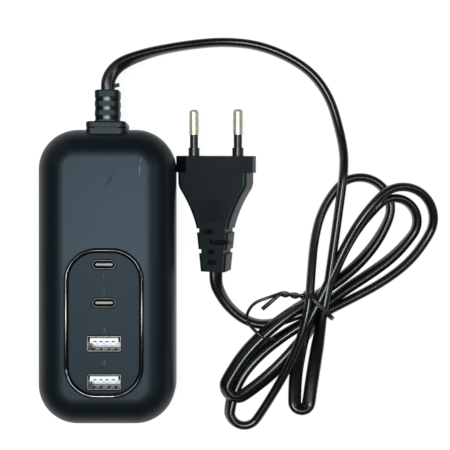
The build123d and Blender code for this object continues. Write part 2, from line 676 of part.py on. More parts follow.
tube_width = CORE_LEG + 2 * FIT + 2 * BOBBIN_WALL
tube_depth = CORE_DEPTH + 2 * FIT + 2 * BOBBIN_WALL
with BuildPart() as transformer_bobbin:
    with BuildSketch(Plane.XY.offset(window_base + FIT)):
        with Locations((0, TRANSFORMER_Y)):
            Rectangle(bobbin_width, BOBBIN_LENGTH)
    extrude(amount=BOBBIN_WALL)
    with BuildSketch(Plane.XY.offset(window_base + window_height - FIT)):
        with Locations((0, TRANSFORMER_Y)):
            Rectangle(bobbin_width, BOBBIN_LENGTH)
    extrude(amount=-BOBBIN_WALL)
    with BuildSketch(Plane.XY.offset(window_base + FIT)):
        with Locations((0, TRANSFORMER_Y)):
            Rectangle(tube_width, tube_depth)
    extrude(amount=window_height - 2 * FIT)
    rail_depth = (BOBBIN_LENGTH - CORE_DEPTH) / 2 - FIT
    rail_middle = CORE_DEPTH / 2 + FIT + rail_depth / 2
    with BuildSketch(Plane.XY.offset(MAIN_BOARD_TOP)):
        with Locations((0, TRANSFORMER_Y - rail_middle), (0, TRANSFORMER_Y + rail_middle)):
            Rectangle(bobbin_width, rail_depth)
    extrude(amount=window_base + FIT - MAIN_BOARD_TOP)
    with BuildSketch(Plane.XY.offset(window_base)):
        with Locations((0, TRANSFORMER_Y)):
            Rectangle(CORE_LEG + 2 * FIT, CORE_DEPTH + 2 * FIT)
    extrude(amount=window_height, mode=Mode.SUBTRACT)
write(transformer_bobbin, "transformer_bobbin")

with BuildPart() as transformer_winding:
    with BuildSketch(Plane.XY.offset(window_base + FIT + BOBBIN_WALL)):
        with Locations((0, TRANSFORMER_Y)):
            RectangleRounded(
                bobbin_width - 2 * WINDING_MARGIN, BOBBIN_LENGTH - 2 * WINDING_MARGIN, 2 * WINDING_MARGIN
            )
            Rectangle(tube_width, tube_depth, mode=Mode.SUBTRACT)
    extrude(amount=window_height - 2 * FIT - 2 * BOBBIN_WALL)
write(transformer_winding, "transformer_winding")


def can_capacitor(diameter: float, height: float, place: tuple) -> BuildPart:
    """Round can that stands on the main board, with a rounded rim and a rolled groove near its foot."""
    with BuildPart() as can:
        with BuildSketch(Plane.XY.offset(MAIN_BOARD_TOP)):
            with Locations(place):
                Circle(diameter / 2)
        extrude(amount=height)
        fillet(can.faces().sort_by(Axis.Z)[-1].edges(), CAN_EDGE)
        with BuildSketch(Plane.XY.offset(MAIN_BOARD_TOP + 2 * CAN_EDGE)):
            with Locations(place):
                Circle(diameter / 2)
                Circle(diameter / 2 - CAN_EDGE / 2, mode=Mode.SUBTRACT)
        extrude(amount=CAN_EDGE, mode=Mode.SUBTRACT)
    return can


def boxed_part(size: tuple, place: tuple) -> BuildPart:
    """Moulded block that stands on the main board, with its upper edges eased."""
    with BuildPart() as block:
        with BuildSketch(Plane.XY.offset(MAIN_BOARD_TOP)):
            with Locations(place):
                Rectangle(size[0], size[1])
        extrude(amount=size[2])
        chamfer(block.faces().sort_by(Axis.Z)[-1].edges(), PART_EDGE / 2)
    return block


# Capacitors, fuse and other parts that stand on the main board
for number, side in enumerate((-1, 1), start=1):
    bulk_capacitor = can_capacitor(BULK_DIAMETER, BULK_HEIGHT, (side * BULK_X, TRANSFORMER_Y))
    write(bulk_capacitor, f"bulk_capacitor_{number}")
for number, place in enumerate(OUTPUT_PLACES, start=1):
    write(can_capacitor(OUTPUT_DIAMETER, OUTPUT_HEIGHT, place), f"output_capacitor_{number}")
for number, place in enumerate(INDUCTOR_PLACES, start=1):
    write(boxed_part(INDUCTOR_SIZE, place), f"power_inductor_{number}")
write(can_capacitor(FUSE_DIAMETER, FUSE_HEIGHT, FUSE_PLACE), "fuse")
write(boxed_part(FILM_SIZE, FILM_PLACE), "film_capacitor")
write(boxed_part(BRIDGE_SIZE, BRIDGE_PLACE), "bridge_rectifier")
write(boxed_part(OPTO_SIZE, OPTO_PLACE), "optocoupler")
write(boxed_part(SINK_SIZE, SINK_PLACE), "heat_sink")
write(boxed_part(TRANSISTOR_SIZE, TRANSISTOR_PLACE), "power_transistor")

with BuildPart() as controller_chips:
    with BuildSketch(Plane.XY.offset(MAIN_BOARD_TOP)):
        with Locations(CHIP_PLACES):
            Rectangle(CHIP_SIZE[0], CHIP_SIZE[1])
    extrude(amount=CHIP_SIZE[2])
write(controller_chips, "controller_chips")

with BuildPart() as disc_capacitor:
    disc_middle = MAIN_BOARD_TOP + DISC_DIAMETER / 2
    with BuildSketch(Plane.XZ.offset(-DISC_PLACE[1] - DISC_THICKNESS / 2)):
        with Locations((DISC_PLACE[0], disc_middle)):
            Circle(DISC_DIAMETER / 2)
    extrude(amount=DISC_THICKNESS)
    fillet(disc_capacitor.edges(), DISC_ROUND)
write(disc_capacitor, "disc_capacitor")

# Choke: a ring core standing on edge, with a winding on each side of it
choke_axis = Axis((CHOKE_PLACE[0], CHOKE_PLACE[1], MAIN_BOARD_TOP + CHOKE_OUTER), (1, 0, 0))
choke_plane = Plane(origin=choke_axis.position, x_dir=(0, 1, 0), z_dir=(1, 0, 0))
ring_section = (CHOKE_OUTER - CHOKE_INNER, CHOKE_WIDTH)
section_middle = (CHOKE_OUTER + CHOKE_INNER) / 2
with BuildPart() as choke_core:
    with BuildSketch(choke_plane.offset(-CHOKE_WIDTH / 2)):
        Circle(CHOKE_OUTER)
        Circle(CHOKE_INNER, mode=Mode.SUBTRACT)
    extrude(amount=CHOKE_WIDTH)
write(choke_core, "choke_core")

with BuildPart() as choke_winding:
    winding_plane = Plane(origin=choke_axis.position, x_dir=(1, 0, 0), z_dir=(0, 0, 1))
    for start in (-CHOKE_SPREAD / 2, 180 - CHOKE_SPREAD / 2):
        with BuildSketch(winding_plane.rotated((start, 0, 0))):
            with Locations((0, section_middle)):
                Rectangle(CHOKE_WIDTH + 2 * CHOKE_WIRE, ring_section[0] + 2 * CHOKE_WIRE)
                Rectangle(
                    CHOKE_WIDTH + 2 * CORD_GAP, ring_section[0] + 2 * CORD_GAP, mode=Mode.SUBTRACT
                )
        revolve(axis=choke_axis, revolution_arc=CHOKE_SPREAD)
write(choke_winding, "choke_winding")

# Strain relief: block in the casing's end wall, flange outside it, slotted sleeve along the cord
wall_face = BODY_END + RELIEF_STEP
flange_start = wall_face + RELIEF_NECK_LENGTH
sleeve_start = flange_start + RELIEF_FLANGE
sleeve_end = sleeve_start + SLEEVE_LENGTH
block_start = BODY_END - RELIEF_INSIDE
with BuildPart() as strain_relief:
    with BuildSketch(upright(block_start, RELIEF_HEIGHT)):
        RectangleRounded(RELIEF_BLOCK, RELIEF_BLOCK, RELIEF_CORNER)
    extrude(amount=wall_face - block_start)
    with BuildSketch(upright(block_start, RELIEF_HEIGHT)):
        with Locations((0, RELIEF_HEIGHT - PARTING_HEIGHT)):
            Rectangle(RELIEF_BLOCK + 2 * RELIEF_WING, RELIEF_WING_HEIGHT)
    extrude(amount=RELIEF_INSIDE - WALL - FIT)
    with BuildSketch(upright(flange_start, RELIEF_HEIGHT)):
        RectangleRounded(RELIEF_BLOCK, RELIEF_BLOCK, RELIEF_CORNER)
    extrude(amount=RELIEF_FLANGE)
    outer_rim = strain_relief.faces().sort_by(Axis.Y)[-1].edges()
    fillet(outer_rim, RELIEF_FLANGE_EDGE)
    with BuildSketch(upright(wall_face, RELIEF_HEIGHT)):
        RectangleRounded(RELIEF_NECK, RELIEF_NECK, RELIEF_CORNER)
    extrude(amount=RELIEF_NECK_LENGTH)
    with BuildSketch(upright(sleeve_start, RELIEF_HEIGHT)):
        RectangleRounded(SLEEVE_WIDTH, SLEEVE_HEIGHT, SLEEVE_CORNER)
    extrude(amount=SLEEVE_LENGTH)
    fillet(strain_relief.faces().sort_by(Axis.Y)[-1].edges(), SLEEVE_EDGE)
    row_starts = [sleeve_start + SLEEVE_FIRST_ROW + SLEEVE_ROW_PITCH * row for row in range(SLEEVE_ROWS)]
    for row_middle in row_starts:
        with BuildSketch(upright(row_middle - SLEEVE_SLOT / 2, RELIEF_HEIGHT)):
            Rectangle(SLEEVE_WIDTH + FIT, SLEEVE_HEIGHT + FIT)
            RectangleRounded(
                SLEEVE_WIDTH - 2 * SLEEVE_GROOVE,
                SLEEVE_HEIGHT - 2 * SLEEVE_GROOVE,
                SLEEVE_CORNER - SLEEVE_GROOVE,
                mode=Mode.SUBTRACT,
            )
        extrude(amount=SLEEVE_SLOT, mode=Mode.SUBTRACT)
        window_x = (SLEEVE_WEB + SLEEVE_WINDOW) / 2
        for face in (-1, 1):
            with BuildSketch(Plane.XY.offset(RELIEF_HEIGHT + face * SLEEVE_HEIGHT / 2)):
                with Locations((-window_x, row_middle), (window_x, row_middle)):
                    Rectangle(SLEEVE_WINDOW, SLEEVE_SLOT)
            extrude(amount=-face * SLEEVE_WINDOW_DEPTH, mode=Mode.SUBTRACT)
    with BuildSketch(upright(block_start, RELIEF_HEIGHT)):
        SlotOverall(CORD_WIDTH + 2 * CORD_GAP, CORD_THICKNESS + 2 * CORD_GAP)
    extrude(amount=sleeve_end - block_start, mode=Mode.SUBTRACT)
write(strain_relief, "strain_relief")

# Inlet leads: the cord's two cores, bent down to the main board
with BuildPart() as inlet_leads:
    for side in (-1, 1):
        core_x = side * CORE_SPACING / 2
        with BuildLine() as core_path:
            FilletPolyline(
                (core_x, CORD_START, RELIEF_HEIGHT),
                (core_x, CORE_BEND_Y, RELIEF_HEIGHT),
                (core_x, CORE_BEND_Y, MAIN_BOARD_TOP),
                radius=CORE_BEND,
            )
        with BuildSketch(upright(CORD_START, RELIEF_HEIGHT)):
            with Locations((core_x, 0)):
                Circle(CORE_WIRE / 2)
        sweep(path=core_path.wires()[0])
write(inlet_leads, "inlet_leads")

# Plug: local X across it, local Y out of its upper face, local Z from its front face to its tail
roll = math.radians(PLUG_ROLL)
flange_drop = FLANGE_FLAT / 2 * math.sin(roll) + FLANGE_HEIGHT / 2 * math.cos(roll)
tail_drop = TAIL_WIDTH / 2 * math.sin(roll) + TAIL_HEIGHT / 2 * math.cos(roll)
tilt = math.atan2(flange_drop - tail_drop, PLUG_LENGTH - FLANGE_LENGTH)
plug_front = Plane(
    origin=(
        PLUG_X, PLUG_FRONT_Y, flange_drop * math.cos(tilt) + FLANGE_LENGTH * math.sin(tilt) + PLUG_LIFT
    ),
    x_dir=(math.cos(roll), -math.sin(tilt) * math.sin(roll), math.cos(tilt) * math.sin(roll)),
    z_dir=(0, -math.cos(tilt), -math.sin(tilt)),
)
plug_plan = Plane(origin=plug_front.origin, x_dir=plug_front.x_dir, z_dir=-plug_front.y_dir)
plug_side = Plane(origin=plug_front.origin, x_dir=plug_front.z_dir, z_dir=-plug_front.x_dir)
with BuildPart() as plug_body:
    with BuildSketch(plug_plan):
        with BuildLine():
            Line((0, 0), (GRIP_WIDTH / 2, 0))
            Line((GRIP_WIDTH / 2, 0), (GRIP_WIDTH / 2, GRIP_STRAIGHT))
            shoulder = TangentArc(
                (GRIP_WIDTH / 2, GRIP_STRAIGHT), (SHOULDER_WIDTH / 2, SHOULDER_AT), tangent=(0, 1)
            )
            TangentArc(shoulder @ 1, (WAIST_WIDTH / 2, WAIST_AT), tangent=shoulder % 1)
            Line((WAIST_WIDTH / 2, WAIST_AT), (TAIL_WIDTH / 2, PLUG_LENGTH))
            Line((TAIL_WIDTH / 2, PLUG_LENGTH), (0, PLUG_LENGTH))
            mirror(about=Plane.YZ)
        make_face()
    extrude(amount=FLANGE_HEIGHT, both=True)
    waist_edges = plug_body.edges().filter_by(
        lambda edge: abs(plug_front.to_local_coords(edge.center()).Z - WAIST_AT) < FIT
        and abs(plug_front.to_local_coords(edge.center()).X) > FIT
    )
    fillet(waist_edges, WAIST_BLEND)
    with BuildSketch(plug_side):
        with BuildLine():
            Polyline(
                (0, GRIP_HEIGHT / 2),
                (PLUG_LENGTH, TAIL_HEIGHT / 2),
                (PLUG_LENGTH, -TAIL_HEIGHT / 2),
                (0, -GRIP_HEIGHT / 2),
                close=True,
            )
        make_face()
    extrude(amount=FLANGE_WIDTH, both=True, mode=Mode.INTERSECT)
    side_edges = plug_body.edges().filter_by(
        lambda edge: abs(plug_front.to_local_coords(edge.center()).Y) > TAIL_HEIGHT / 4
        and PLUG_EDGE < plug_front.to_local_coords(edge.center()).Z < PLUG_LENGTH - PLUG_EDGE
        and abs(plug_front.to_local_coords(edge.center()).X) > TAIL_WIDTH / 4
    )
    fillet(side_edges, PLUG_EDGE)
    split(bisect_by=plug_front.offset(FLANGE_LENGTH - FIT), keep=Keep.TOP)
    with BuildSketch(plug_front):
        with BuildLine():
            Polyline(
                (FLANGE_WIDTH / 2, FLANGE_END / 2),
                (FLANGE_FLAT / 2, FLANGE_HEIGHT / 2),
                (-FLANGE_FLAT / 2, FLANGE_HEIGHT / 2),
                (-FLANGE_WIDTH / 2, FLANGE_END / 2),
                (-FLANGE_WIDTH / 2, -FLANGE_END / 2),
                (-FLANGE_FLAT / 2, -FLANGE_HEIGHT / 2),
                (FLANGE_FLAT / 2, -FLANGE_HEIGHT / 2),
                (FLANGE_WIDTH / 2, -FLANGE_END / 2),
                close=True,
            )
        make_face()
    extrude(amount=FLANGE_LENGTH)
    for notch_at in NOTCH_PLACES:
        share = (notch_at - WAIST_AT) / (PLUG_LENGTH - WAIST_AT)
        notch_x = (WAIST_WIDTH + share * (TAIL_WIDTH - WAIST_WIDTH)) / 2
        with BuildSketch(plug_plan):
            with Locations((-notch_x, notch_at), (notch_x, notch_at)):
                Rectangle(2 * NOTCH_DEPTH, NOTCH_LENGTH)
        extrude(amount=FLANGE_HEIGHT, both=True, mode=Mode.SUBTRACT)
    for slot_at, slot_from, slot_to, slot_depth in SLOTS:
        slot_face = (GRIP_HEIGHT + slot_at / PLUG_LENGTH * (TAIL_HEIGHT - GRIP_HEIGHT)) / 2
        with BuildSketch(plug_side.offset(-(slot_from + slot_to) / 2)):
            with Locations((slot_at, slot_face), (slot_at, -slot_face)):
                Rectangle(SLOT_LENGTH, 2 * slot_depth)
        extrude(amount=(slot_to - slot_from) / 2, both=True, mode=Mode.SUBTRACT)
    for rib in range(RIB_COUNT):
        rib_at = RIB_START + rib * RIB_PITCH
        rib_face = (GRIP_HEIGHT + rib_at / PLUG_LENGTH * (TAIL_HEIGHT - GRIP_HEIGHT)) / 2
        with BuildSketch(plug_side):
            with Locations((rib_at, rib_face), (rib_at, -rib_face)):
                Rectangle(RIB_GROOVE, 2 * RIB_DEPTH)
        extrude(amount=RIB_WIDTH / 2, both=True, mode=Mode.SUBTRACT)
    with BuildSketch(plug_front):
        with GridLocations(PIN_PITCH, 0, 2, 1):
            Circle(PIN_CORE / 2 + CORD_GAP)
    extrude(amount=PIN_ROOT, mode=Mode.SUBTRACT)
write(plug_body, "plug_body")

with BuildPart() as plug_pins:
    with BuildSketch(plug_front.offset(-PIN_LENGTH)):
        with GridLocations(PIN_PITCH, 0, 2, 1):
            Circle(PIN_DIAMETER / 2)
    extrude(amount=PIN_BARE)
    tips = plug_pins.faces().sort_by(Axis.Y)[-2:].edges()
    fillet(tips, PIN_TIP)
    with BuildSketch(plug_front.offset(PIN_BARE - PIN_LENGTH)):
        with GridLocations(PIN_PITCH, 0, 2, 1):
            Circle(PIN_CORE / 2)
    extrude(amount=PIN_LENGTH - PIN_BARE + PIN_ROOT)
write(plug_pins, "plug_pins")

with BuildPart() as pin_sleeves:
    with BuildSketch(plug_front.offset(PIN_BARE - PIN_LENGTH)):
        with GridLocations(PIN_PITCH, 0, 2, 1):
            Circle(SLEEVE_DIAMETER / 2)
    extrude(amount=PIN_LENGTH - PIN_BARE)
    with BuildSketch(plug_front.offset(-SLEEVE_ROOT_LENGTH)):
        with GridLocations(PIN_PITCH, 0, 2, 1):
            Circle(SLEEVE_ROOT / 2)
    extrude(amount=SLEEVE_ROOT_LENGTH)
    with BuildSketch(plug_front.offset(PIN_BARE - PIN_LENGTH)):
        with GridLocations(PIN_PITCH, 0, 2, 1):
            Circle(PIN_CORE / 2 + CORD_GAP)
    extrude(amount=PIN_LENGTH - PIN_BARE, mode=Mode.SUBTRACT)
write(pin_sleeves, "pin_sleeves")

# Waist of the hank: its own frame runs along the gathered strands, from the lower lobes to the upper ones
waist = Plane(origin=(WAIST_X, WAIST_Y, BUNDLE_LIFT), z_dir=(0, 0, 1)).rotated((0, 0, WAIST_TURN))
tie_plane = Plane(
    origin=waist.from_local_coords((0, 0, BUNDLE_HEIGHT / 2)), x_dir=waist.x_dir, z_dir=waist.y_dir
)


def at_waist(across: float, along: float, height: float) -> tuple:
    """Point beside the waist, given across and along the gathered strands and above the floor."""
    return tuple(waist.from_local_coords((across, along, height - BUNDLE_LIFT)))


def flat_cord(points: list, turn: float) -> BuildPart:
    """Flat cord swept along straight runs and tangent arcs, turned about its own line."""
    radii = route_radii(points)
    with BuildLine() as path:
        FilletPolyline(*points, radius=radii)
    start = Vector(points[1]) - Vector(points[0])
    with BuildPart() as cord:
        with BuildSketch(Plane(origin=points[0], x_dir=start.cross(Vector(0, 0, 1)), z_dir=start)):
            SlotOverall(CORD_WIDTH, CORD_THICKNESS, rotation=turn)
        sweep(path=path.wires()[0])
    section = CORD_THICKNESS * (CORD_WIDTH - CORD_THICKNESS) + math.pi * CORD_THICKNESS**2 / 4
    length = path.wires()[0].length
    print("arc radii", [round(radius, 1) for radius in radii])
    print("length", round(length, 1), "volume share", round(cord.part.volume / (section * length), 4))
    return cord


# Cord from inside the casing, through the strain relief and round to the hank
lead_end = at_waist(LEAD_OFFSET, BUNDLE_LENGTH / 2 + FIT, LEAD_ROUTE[-1][2])
lead_start = [(0, sleeve_end, RELIEF_HEIGHT), (0, sleeve_end + LEAD_STRAIGHT, RELIEF_HEIGHT)]
lead = flat_cord([*lead_start, *laid(LEAD_ROUTE), lead_end], ON_EDGE)
with BuildPart() as cord_lead:
    with BuildSketch(upright(CORD_START, RELIEF_HEIGHT)):
        SlotOverall(CORD_WIDTH, CORD_THICKNESS)
    extrude(amount=sleeve_end - CORD_START)
    add(lead.part)
write(cord_lead, "cord_lead")

# Cord from the plug's tail to the hank
tail_start = [
    tuple(plug_front.from_local_coords((0, 0, PLUG_LENGTH + run))) for run in (0, TAIL_STRAIGHT)
]
tail_end = at_waist(-BUNDLE_WIDTH / 2 - TAIL_GAP, -TAIL_OFFSET, TAIL_ROUTE[-1][2])
cord_tail = flat_cord([*tail_start, *laid(TAIL_ROUTE), tail_end], FLAT_UP)
write(cord_tail, "cord_tail")

# Hank: bands round the lobes, and the gathered strands at the waist with a channel for the tie
with BuildPart() as cord_hank:
    with BuildSketch(waist):
        Rectangle(BUNDLE_WIDTH, BUNDLE_LENGTH)
    extrude(amount=BUNDLE_HEIGHT)
    fillet(cord_hank.edges().filter_by(Axis(waist.origin, waist.y_dir)), BUNDLE_CORNER)
    for tip_aside, tip_along, tip_radius, band, band_height in LOBES:
        tip_x = BODY_WIDTH / 2 + tip_aside
        tip_y = BODY_END + tip_along
        reach = Vector(tip_x - WAIST_X, tip_y - WAIST_Y)
        opening = Vector(WAIST_X, WAIST_Y) + reach.normalized() * LOBE_OPENING
        with BuildSketch(mode=Mode.PRIVATE) as band_outline:
            with Locations((tip_x, tip_y)):
                Circle(tip_radius + band / 2)
            with Locations((WAIST_X, WAIST_Y)):
                Circle(LOBE_ROOT)
            make_hull()
        with BuildSketch(mode=Mode.PRIVATE) as band_inside:
            with Locations((tip_x, tip_y)):
                Circle(tip_radius - band / 2)
            with Locations(opening):
                Circle(LOBE_POINT)
            make_hull()
        with BuildSketch():
            add(band_outline.sketch)
            add(band_inside.sketch, mode=Mode.SUBTRACT)
        extrude(amount=band_height)
    with BuildSketch(tie_plane):
        Rectangle(2 * BUNDLE_WIDTH, 3 * BUNDLE_HEIGHT)
        RectangleRounded(BUNDLE_WIDTH, BUNDLE_HEIGHT, BUNDLE_CORNER, mode=Mode.SUBTRACT)
    extrude(amount=TIE_WIDTH / 2 + TIE_GAP, both=True, mode=Mode.SUBTRACT)
write(cord_hank, "cord_hank")


def tie_wire(points: list, diameter: float) -> Part:
    """Round covered wire along straight runs and tangent arcs."""
    with BuildLine() as path:
        if len(points) > 2:
            FilletPolyline(*points, radius=route_radii(points))
        else:
            Line(*points)
    with BuildPart() as wire:
        with BuildSketch(Plane(origin=points[0], z_dir=Vector(points[1]) - Vector(points[0]))):
            Circle(diameter / 2)
        sweep(path=path.wires()[0])
    return wire.part


# Twist tie: a band in the waist's channel, its ends twisted into one stub and then let go
tie_start = at_waist(-BUNDLE_WIDTH / 2 - TIE_GAP - TIE_THICKNESS / 2, 0, TIE_HEIGHT)
twist_end = laid((TIE_TWIST_END,))[0]
tie_wires = [
    tie_wire([tie_start, twist_end], TIE_TWIST),
    tie_wire([twist_end, *laid(TIE_LONG_END)], TIE_WIRE),
    tie_wire([twist_end, *laid(TIE_SHORT_END)], TIE_WIRE),
]
with BuildPart() as twist_tie:
    with BuildSketch(tie_plane):
        outside = TIE_GAP + TIE_THICKNESS
        RectangleRounded(
            BUNDLE_WIDTH + 2 * outside, BUNDLE_HEIGHT + 2 * outside, BUNDLE_CORNER + outside
        )
        RectangleRounded(
            BUNDLE_WIDTH + 2 * TIE_GAP, BUNDLE_HEIGHT + 2 * TIE_GAP, BUNDLE_CORNER + TIE_GAP,
            mode=Mode.SUBTRACT,
        )
    extrude(amount=TIE_WIDTH / 2, both=True)
    for wire in tie_wires:
        add(wire)
write(twist_tie, "twist_tie")
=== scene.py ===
"""Dresses a four-socket desktop charger, its flat cord tied in a hank, and its two-pin plug."""

import json
import logging
import math
from dataclasses import dataclass
from enum import Enum

import bmesh
import bpy
from mathutils import Matrix, Vector


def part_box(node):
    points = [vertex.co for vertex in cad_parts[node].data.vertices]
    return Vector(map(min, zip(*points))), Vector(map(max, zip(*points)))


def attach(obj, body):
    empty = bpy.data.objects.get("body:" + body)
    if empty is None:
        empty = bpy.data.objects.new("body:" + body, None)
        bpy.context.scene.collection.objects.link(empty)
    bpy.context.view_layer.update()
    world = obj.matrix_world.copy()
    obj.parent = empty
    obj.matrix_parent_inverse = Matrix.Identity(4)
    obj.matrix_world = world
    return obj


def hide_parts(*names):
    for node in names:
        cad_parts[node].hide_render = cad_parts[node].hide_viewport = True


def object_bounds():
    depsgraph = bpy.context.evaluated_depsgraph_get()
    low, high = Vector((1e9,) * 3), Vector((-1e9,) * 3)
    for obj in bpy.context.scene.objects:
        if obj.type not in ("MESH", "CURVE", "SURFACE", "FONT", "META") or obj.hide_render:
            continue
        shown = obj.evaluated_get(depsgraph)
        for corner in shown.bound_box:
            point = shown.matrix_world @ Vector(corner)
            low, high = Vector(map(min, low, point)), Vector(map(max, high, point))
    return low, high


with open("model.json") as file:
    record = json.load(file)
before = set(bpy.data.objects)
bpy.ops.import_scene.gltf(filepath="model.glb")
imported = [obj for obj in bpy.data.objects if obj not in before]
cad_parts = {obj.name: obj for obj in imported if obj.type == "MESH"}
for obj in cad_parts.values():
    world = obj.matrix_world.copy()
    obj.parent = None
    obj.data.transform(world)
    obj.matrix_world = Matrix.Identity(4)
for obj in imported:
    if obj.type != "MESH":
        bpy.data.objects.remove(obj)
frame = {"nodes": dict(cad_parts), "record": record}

MM = 0.001
BODY = "root"
CAD_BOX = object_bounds()
log = logging.getLogger("charger")

Point = tuple[float, float, float]
Size = tuple[float, float, float]
Colour = tuple[float, float, float, float]
RoutePoint = tuple[float, float, float, float]
HeightTilt = tuple[float, float]

# Tone of the dark band, for the joint between mouldings and for painted shade deep in a mouth; painted shade
# in a groove, painted highlight in an opening, a dark rub and a light scratch
SEAM_AND_PAINTED_SHADE = "020202"
PAINTED_GROOVE_SHADE = "020303"
PAINTED_OPENING_HIGHLIGHT = "a3a8ab"
RUB = "0a0d0f"
SCRATCH = "8a949a"

# How fine the change of tone, the breaks in a stroke and the grain are
TONE_DETAIL = 4.0
BREAK_DETAIL = 3.0
BREAK_MM = 0.8
GRAIN_DETAIL = 2.0

# How much of the grain's relief stands out, and the part of the grain that changes the roughness
BUMP_STRENGTH = 0.6
GRAIN_RANGE = (0.3, 0.7)

# Order of the cord's and the wire's curves, and the handle of a quarter circle as a share of its radius
SPLINE_ORDER = 3
CIRCLE_HANDLE = 0.5523


def linear(code: str) -> Colour:
    """Turns an sRGB hex value to a linear colour.

    Args:
        code: Six hex digits, such as "20262a".

    Returns:
        Linear red, green and blue with a full alpha.
    """
    shares = [int(code[i:i + 2], 16) / 255 for i in (0, 2, 4)]
    bent = [s / 12.92 if s <= 0.04045 else ((s + 0.055) / 1.055) ** 2.4 for s in shares]
    return bent[0], bent[1], bent[2], 1.0


def add_node(tree: bpy.types.NodeTree, kind: str, sockets: dict[str | int, object] | None = None,
             **settings: object) -> bpy.types.Node:
    """Adds a node with its settings, values and links.

    Args:
        tree: Node tree that gets the node.
        kind: Blender's name of the node type, without its ShaderNode start.
        sockets: Value or linked output for each input, by the input's name or number.
        settings: Properties of the node.

    Returns:
        The new node.
    """
    node = tree.nodes.new("ShaderNode" + kind)
    for name, value in settings.items():
        setattr(node, name, value)
    for socket, value in (sockets or {}).items():
        if isinstance(value, bpy.types.NodeSocket):
            tree.links.new(value, node.inputs[socket])
        else:
            node.inputs[socket].default_value = value
    return node


def blend(tree: bpy.types.NodeTree, share: bpy.types.NodeSocket, under: Colour | bpy.types.NodeSocket,
          over: Colour) -> bpy.types.NodeSocket:
    """Adds a mix of two colours.

    Args:
        tree: Node tree that gets the mix.
        share: How much of the second colour shows.
        under: The first colour.
        over: The second colour.

    Returns:
        The colour output.
    """
    mixed = add_node(tree, "Mix", {0: share, 6: under, 7: over}, data_type="RGBA")
    return mixed.outputs[2]


def maths(tree: bpy.types.NodeTree, operation: str, *values: float | bpy.types.NodeSocket,
          clamp: bool = False) -> bpy.types.NodeSocket:
    """Adds one calculation.

    Args:
        tree: Node tree that gets the calculation.
        operation: Blender's name of the calculation.
        values: Its numbers or linked outputs, in order.
        clamp: True where the result stays between 0 and 1.

    Returns:
        The result's output.
    """
    node = add_node(tree, "Math", dict(enumerate(values)), operation=operation, use_clamp=clamp)
    return node.outputs[0]


class Lay(Enum):
    """Which way a finish's grain is drawn out."""

    EVEN = (1.0, 1.0, 1.0)
    ACROSS = (0.08, 1.0, 1.0)
    UPRIGHT = (1.0, 1.0, 0.08)


@dataclass(frozen=True)
class Mark:
    """A stroke on an upper face: a rub or a scratch, or painted shade or a painted highlight in a groove.

    Place, length and width are in mm and the turn is in degrees. Dull is what it adds to the roughness.
    """

    place: tuple[float, float]
    length: float
    width: float
    turn: float
    colour: str
    strength: float
    dull: float = 0.0

    def outline(self, tree: bpy.types.NodeTree, place: bpy.types.NodeSocket) -> bpy.types.NodeSocket:
        """Adds the outline of the stroke, broken up by a fine noise.

        Args:
            tree: Node tree of the material.
            place: Object coordinates.

        Returns:
            How much of the stroke shows.
        """
        laid = add_node(tree, "Mapping", {
            "Vector": place,
            "Location": (self.place[0] * MM, self.place[1] * MM, 0),
            "Rotation": (0, 0, math.radians(self.turn)),
            "Scale": (self.length / 2 * MM, self.width / 2 * MM, 1),
        }, vector_type="TEXTURE")
        oval = add_node(tree, "TexGradient", {"Vector": laid.outputs[0]}, gradient_type="QUADRATIC_SPHERE")
        breaks = add_node(tree, "TexNoise", {"Vector": place, "Scale": 1 / (BREAK_MM * MM),
                                             "Detail": BREAK_DETAIL})
        share = maths(tree, "MULTIPLY", oval.outputs[1], breaks.outputs[0])
        return maths(tree, "MULTIPLY", share, 2 * self.strength, clamp=True)


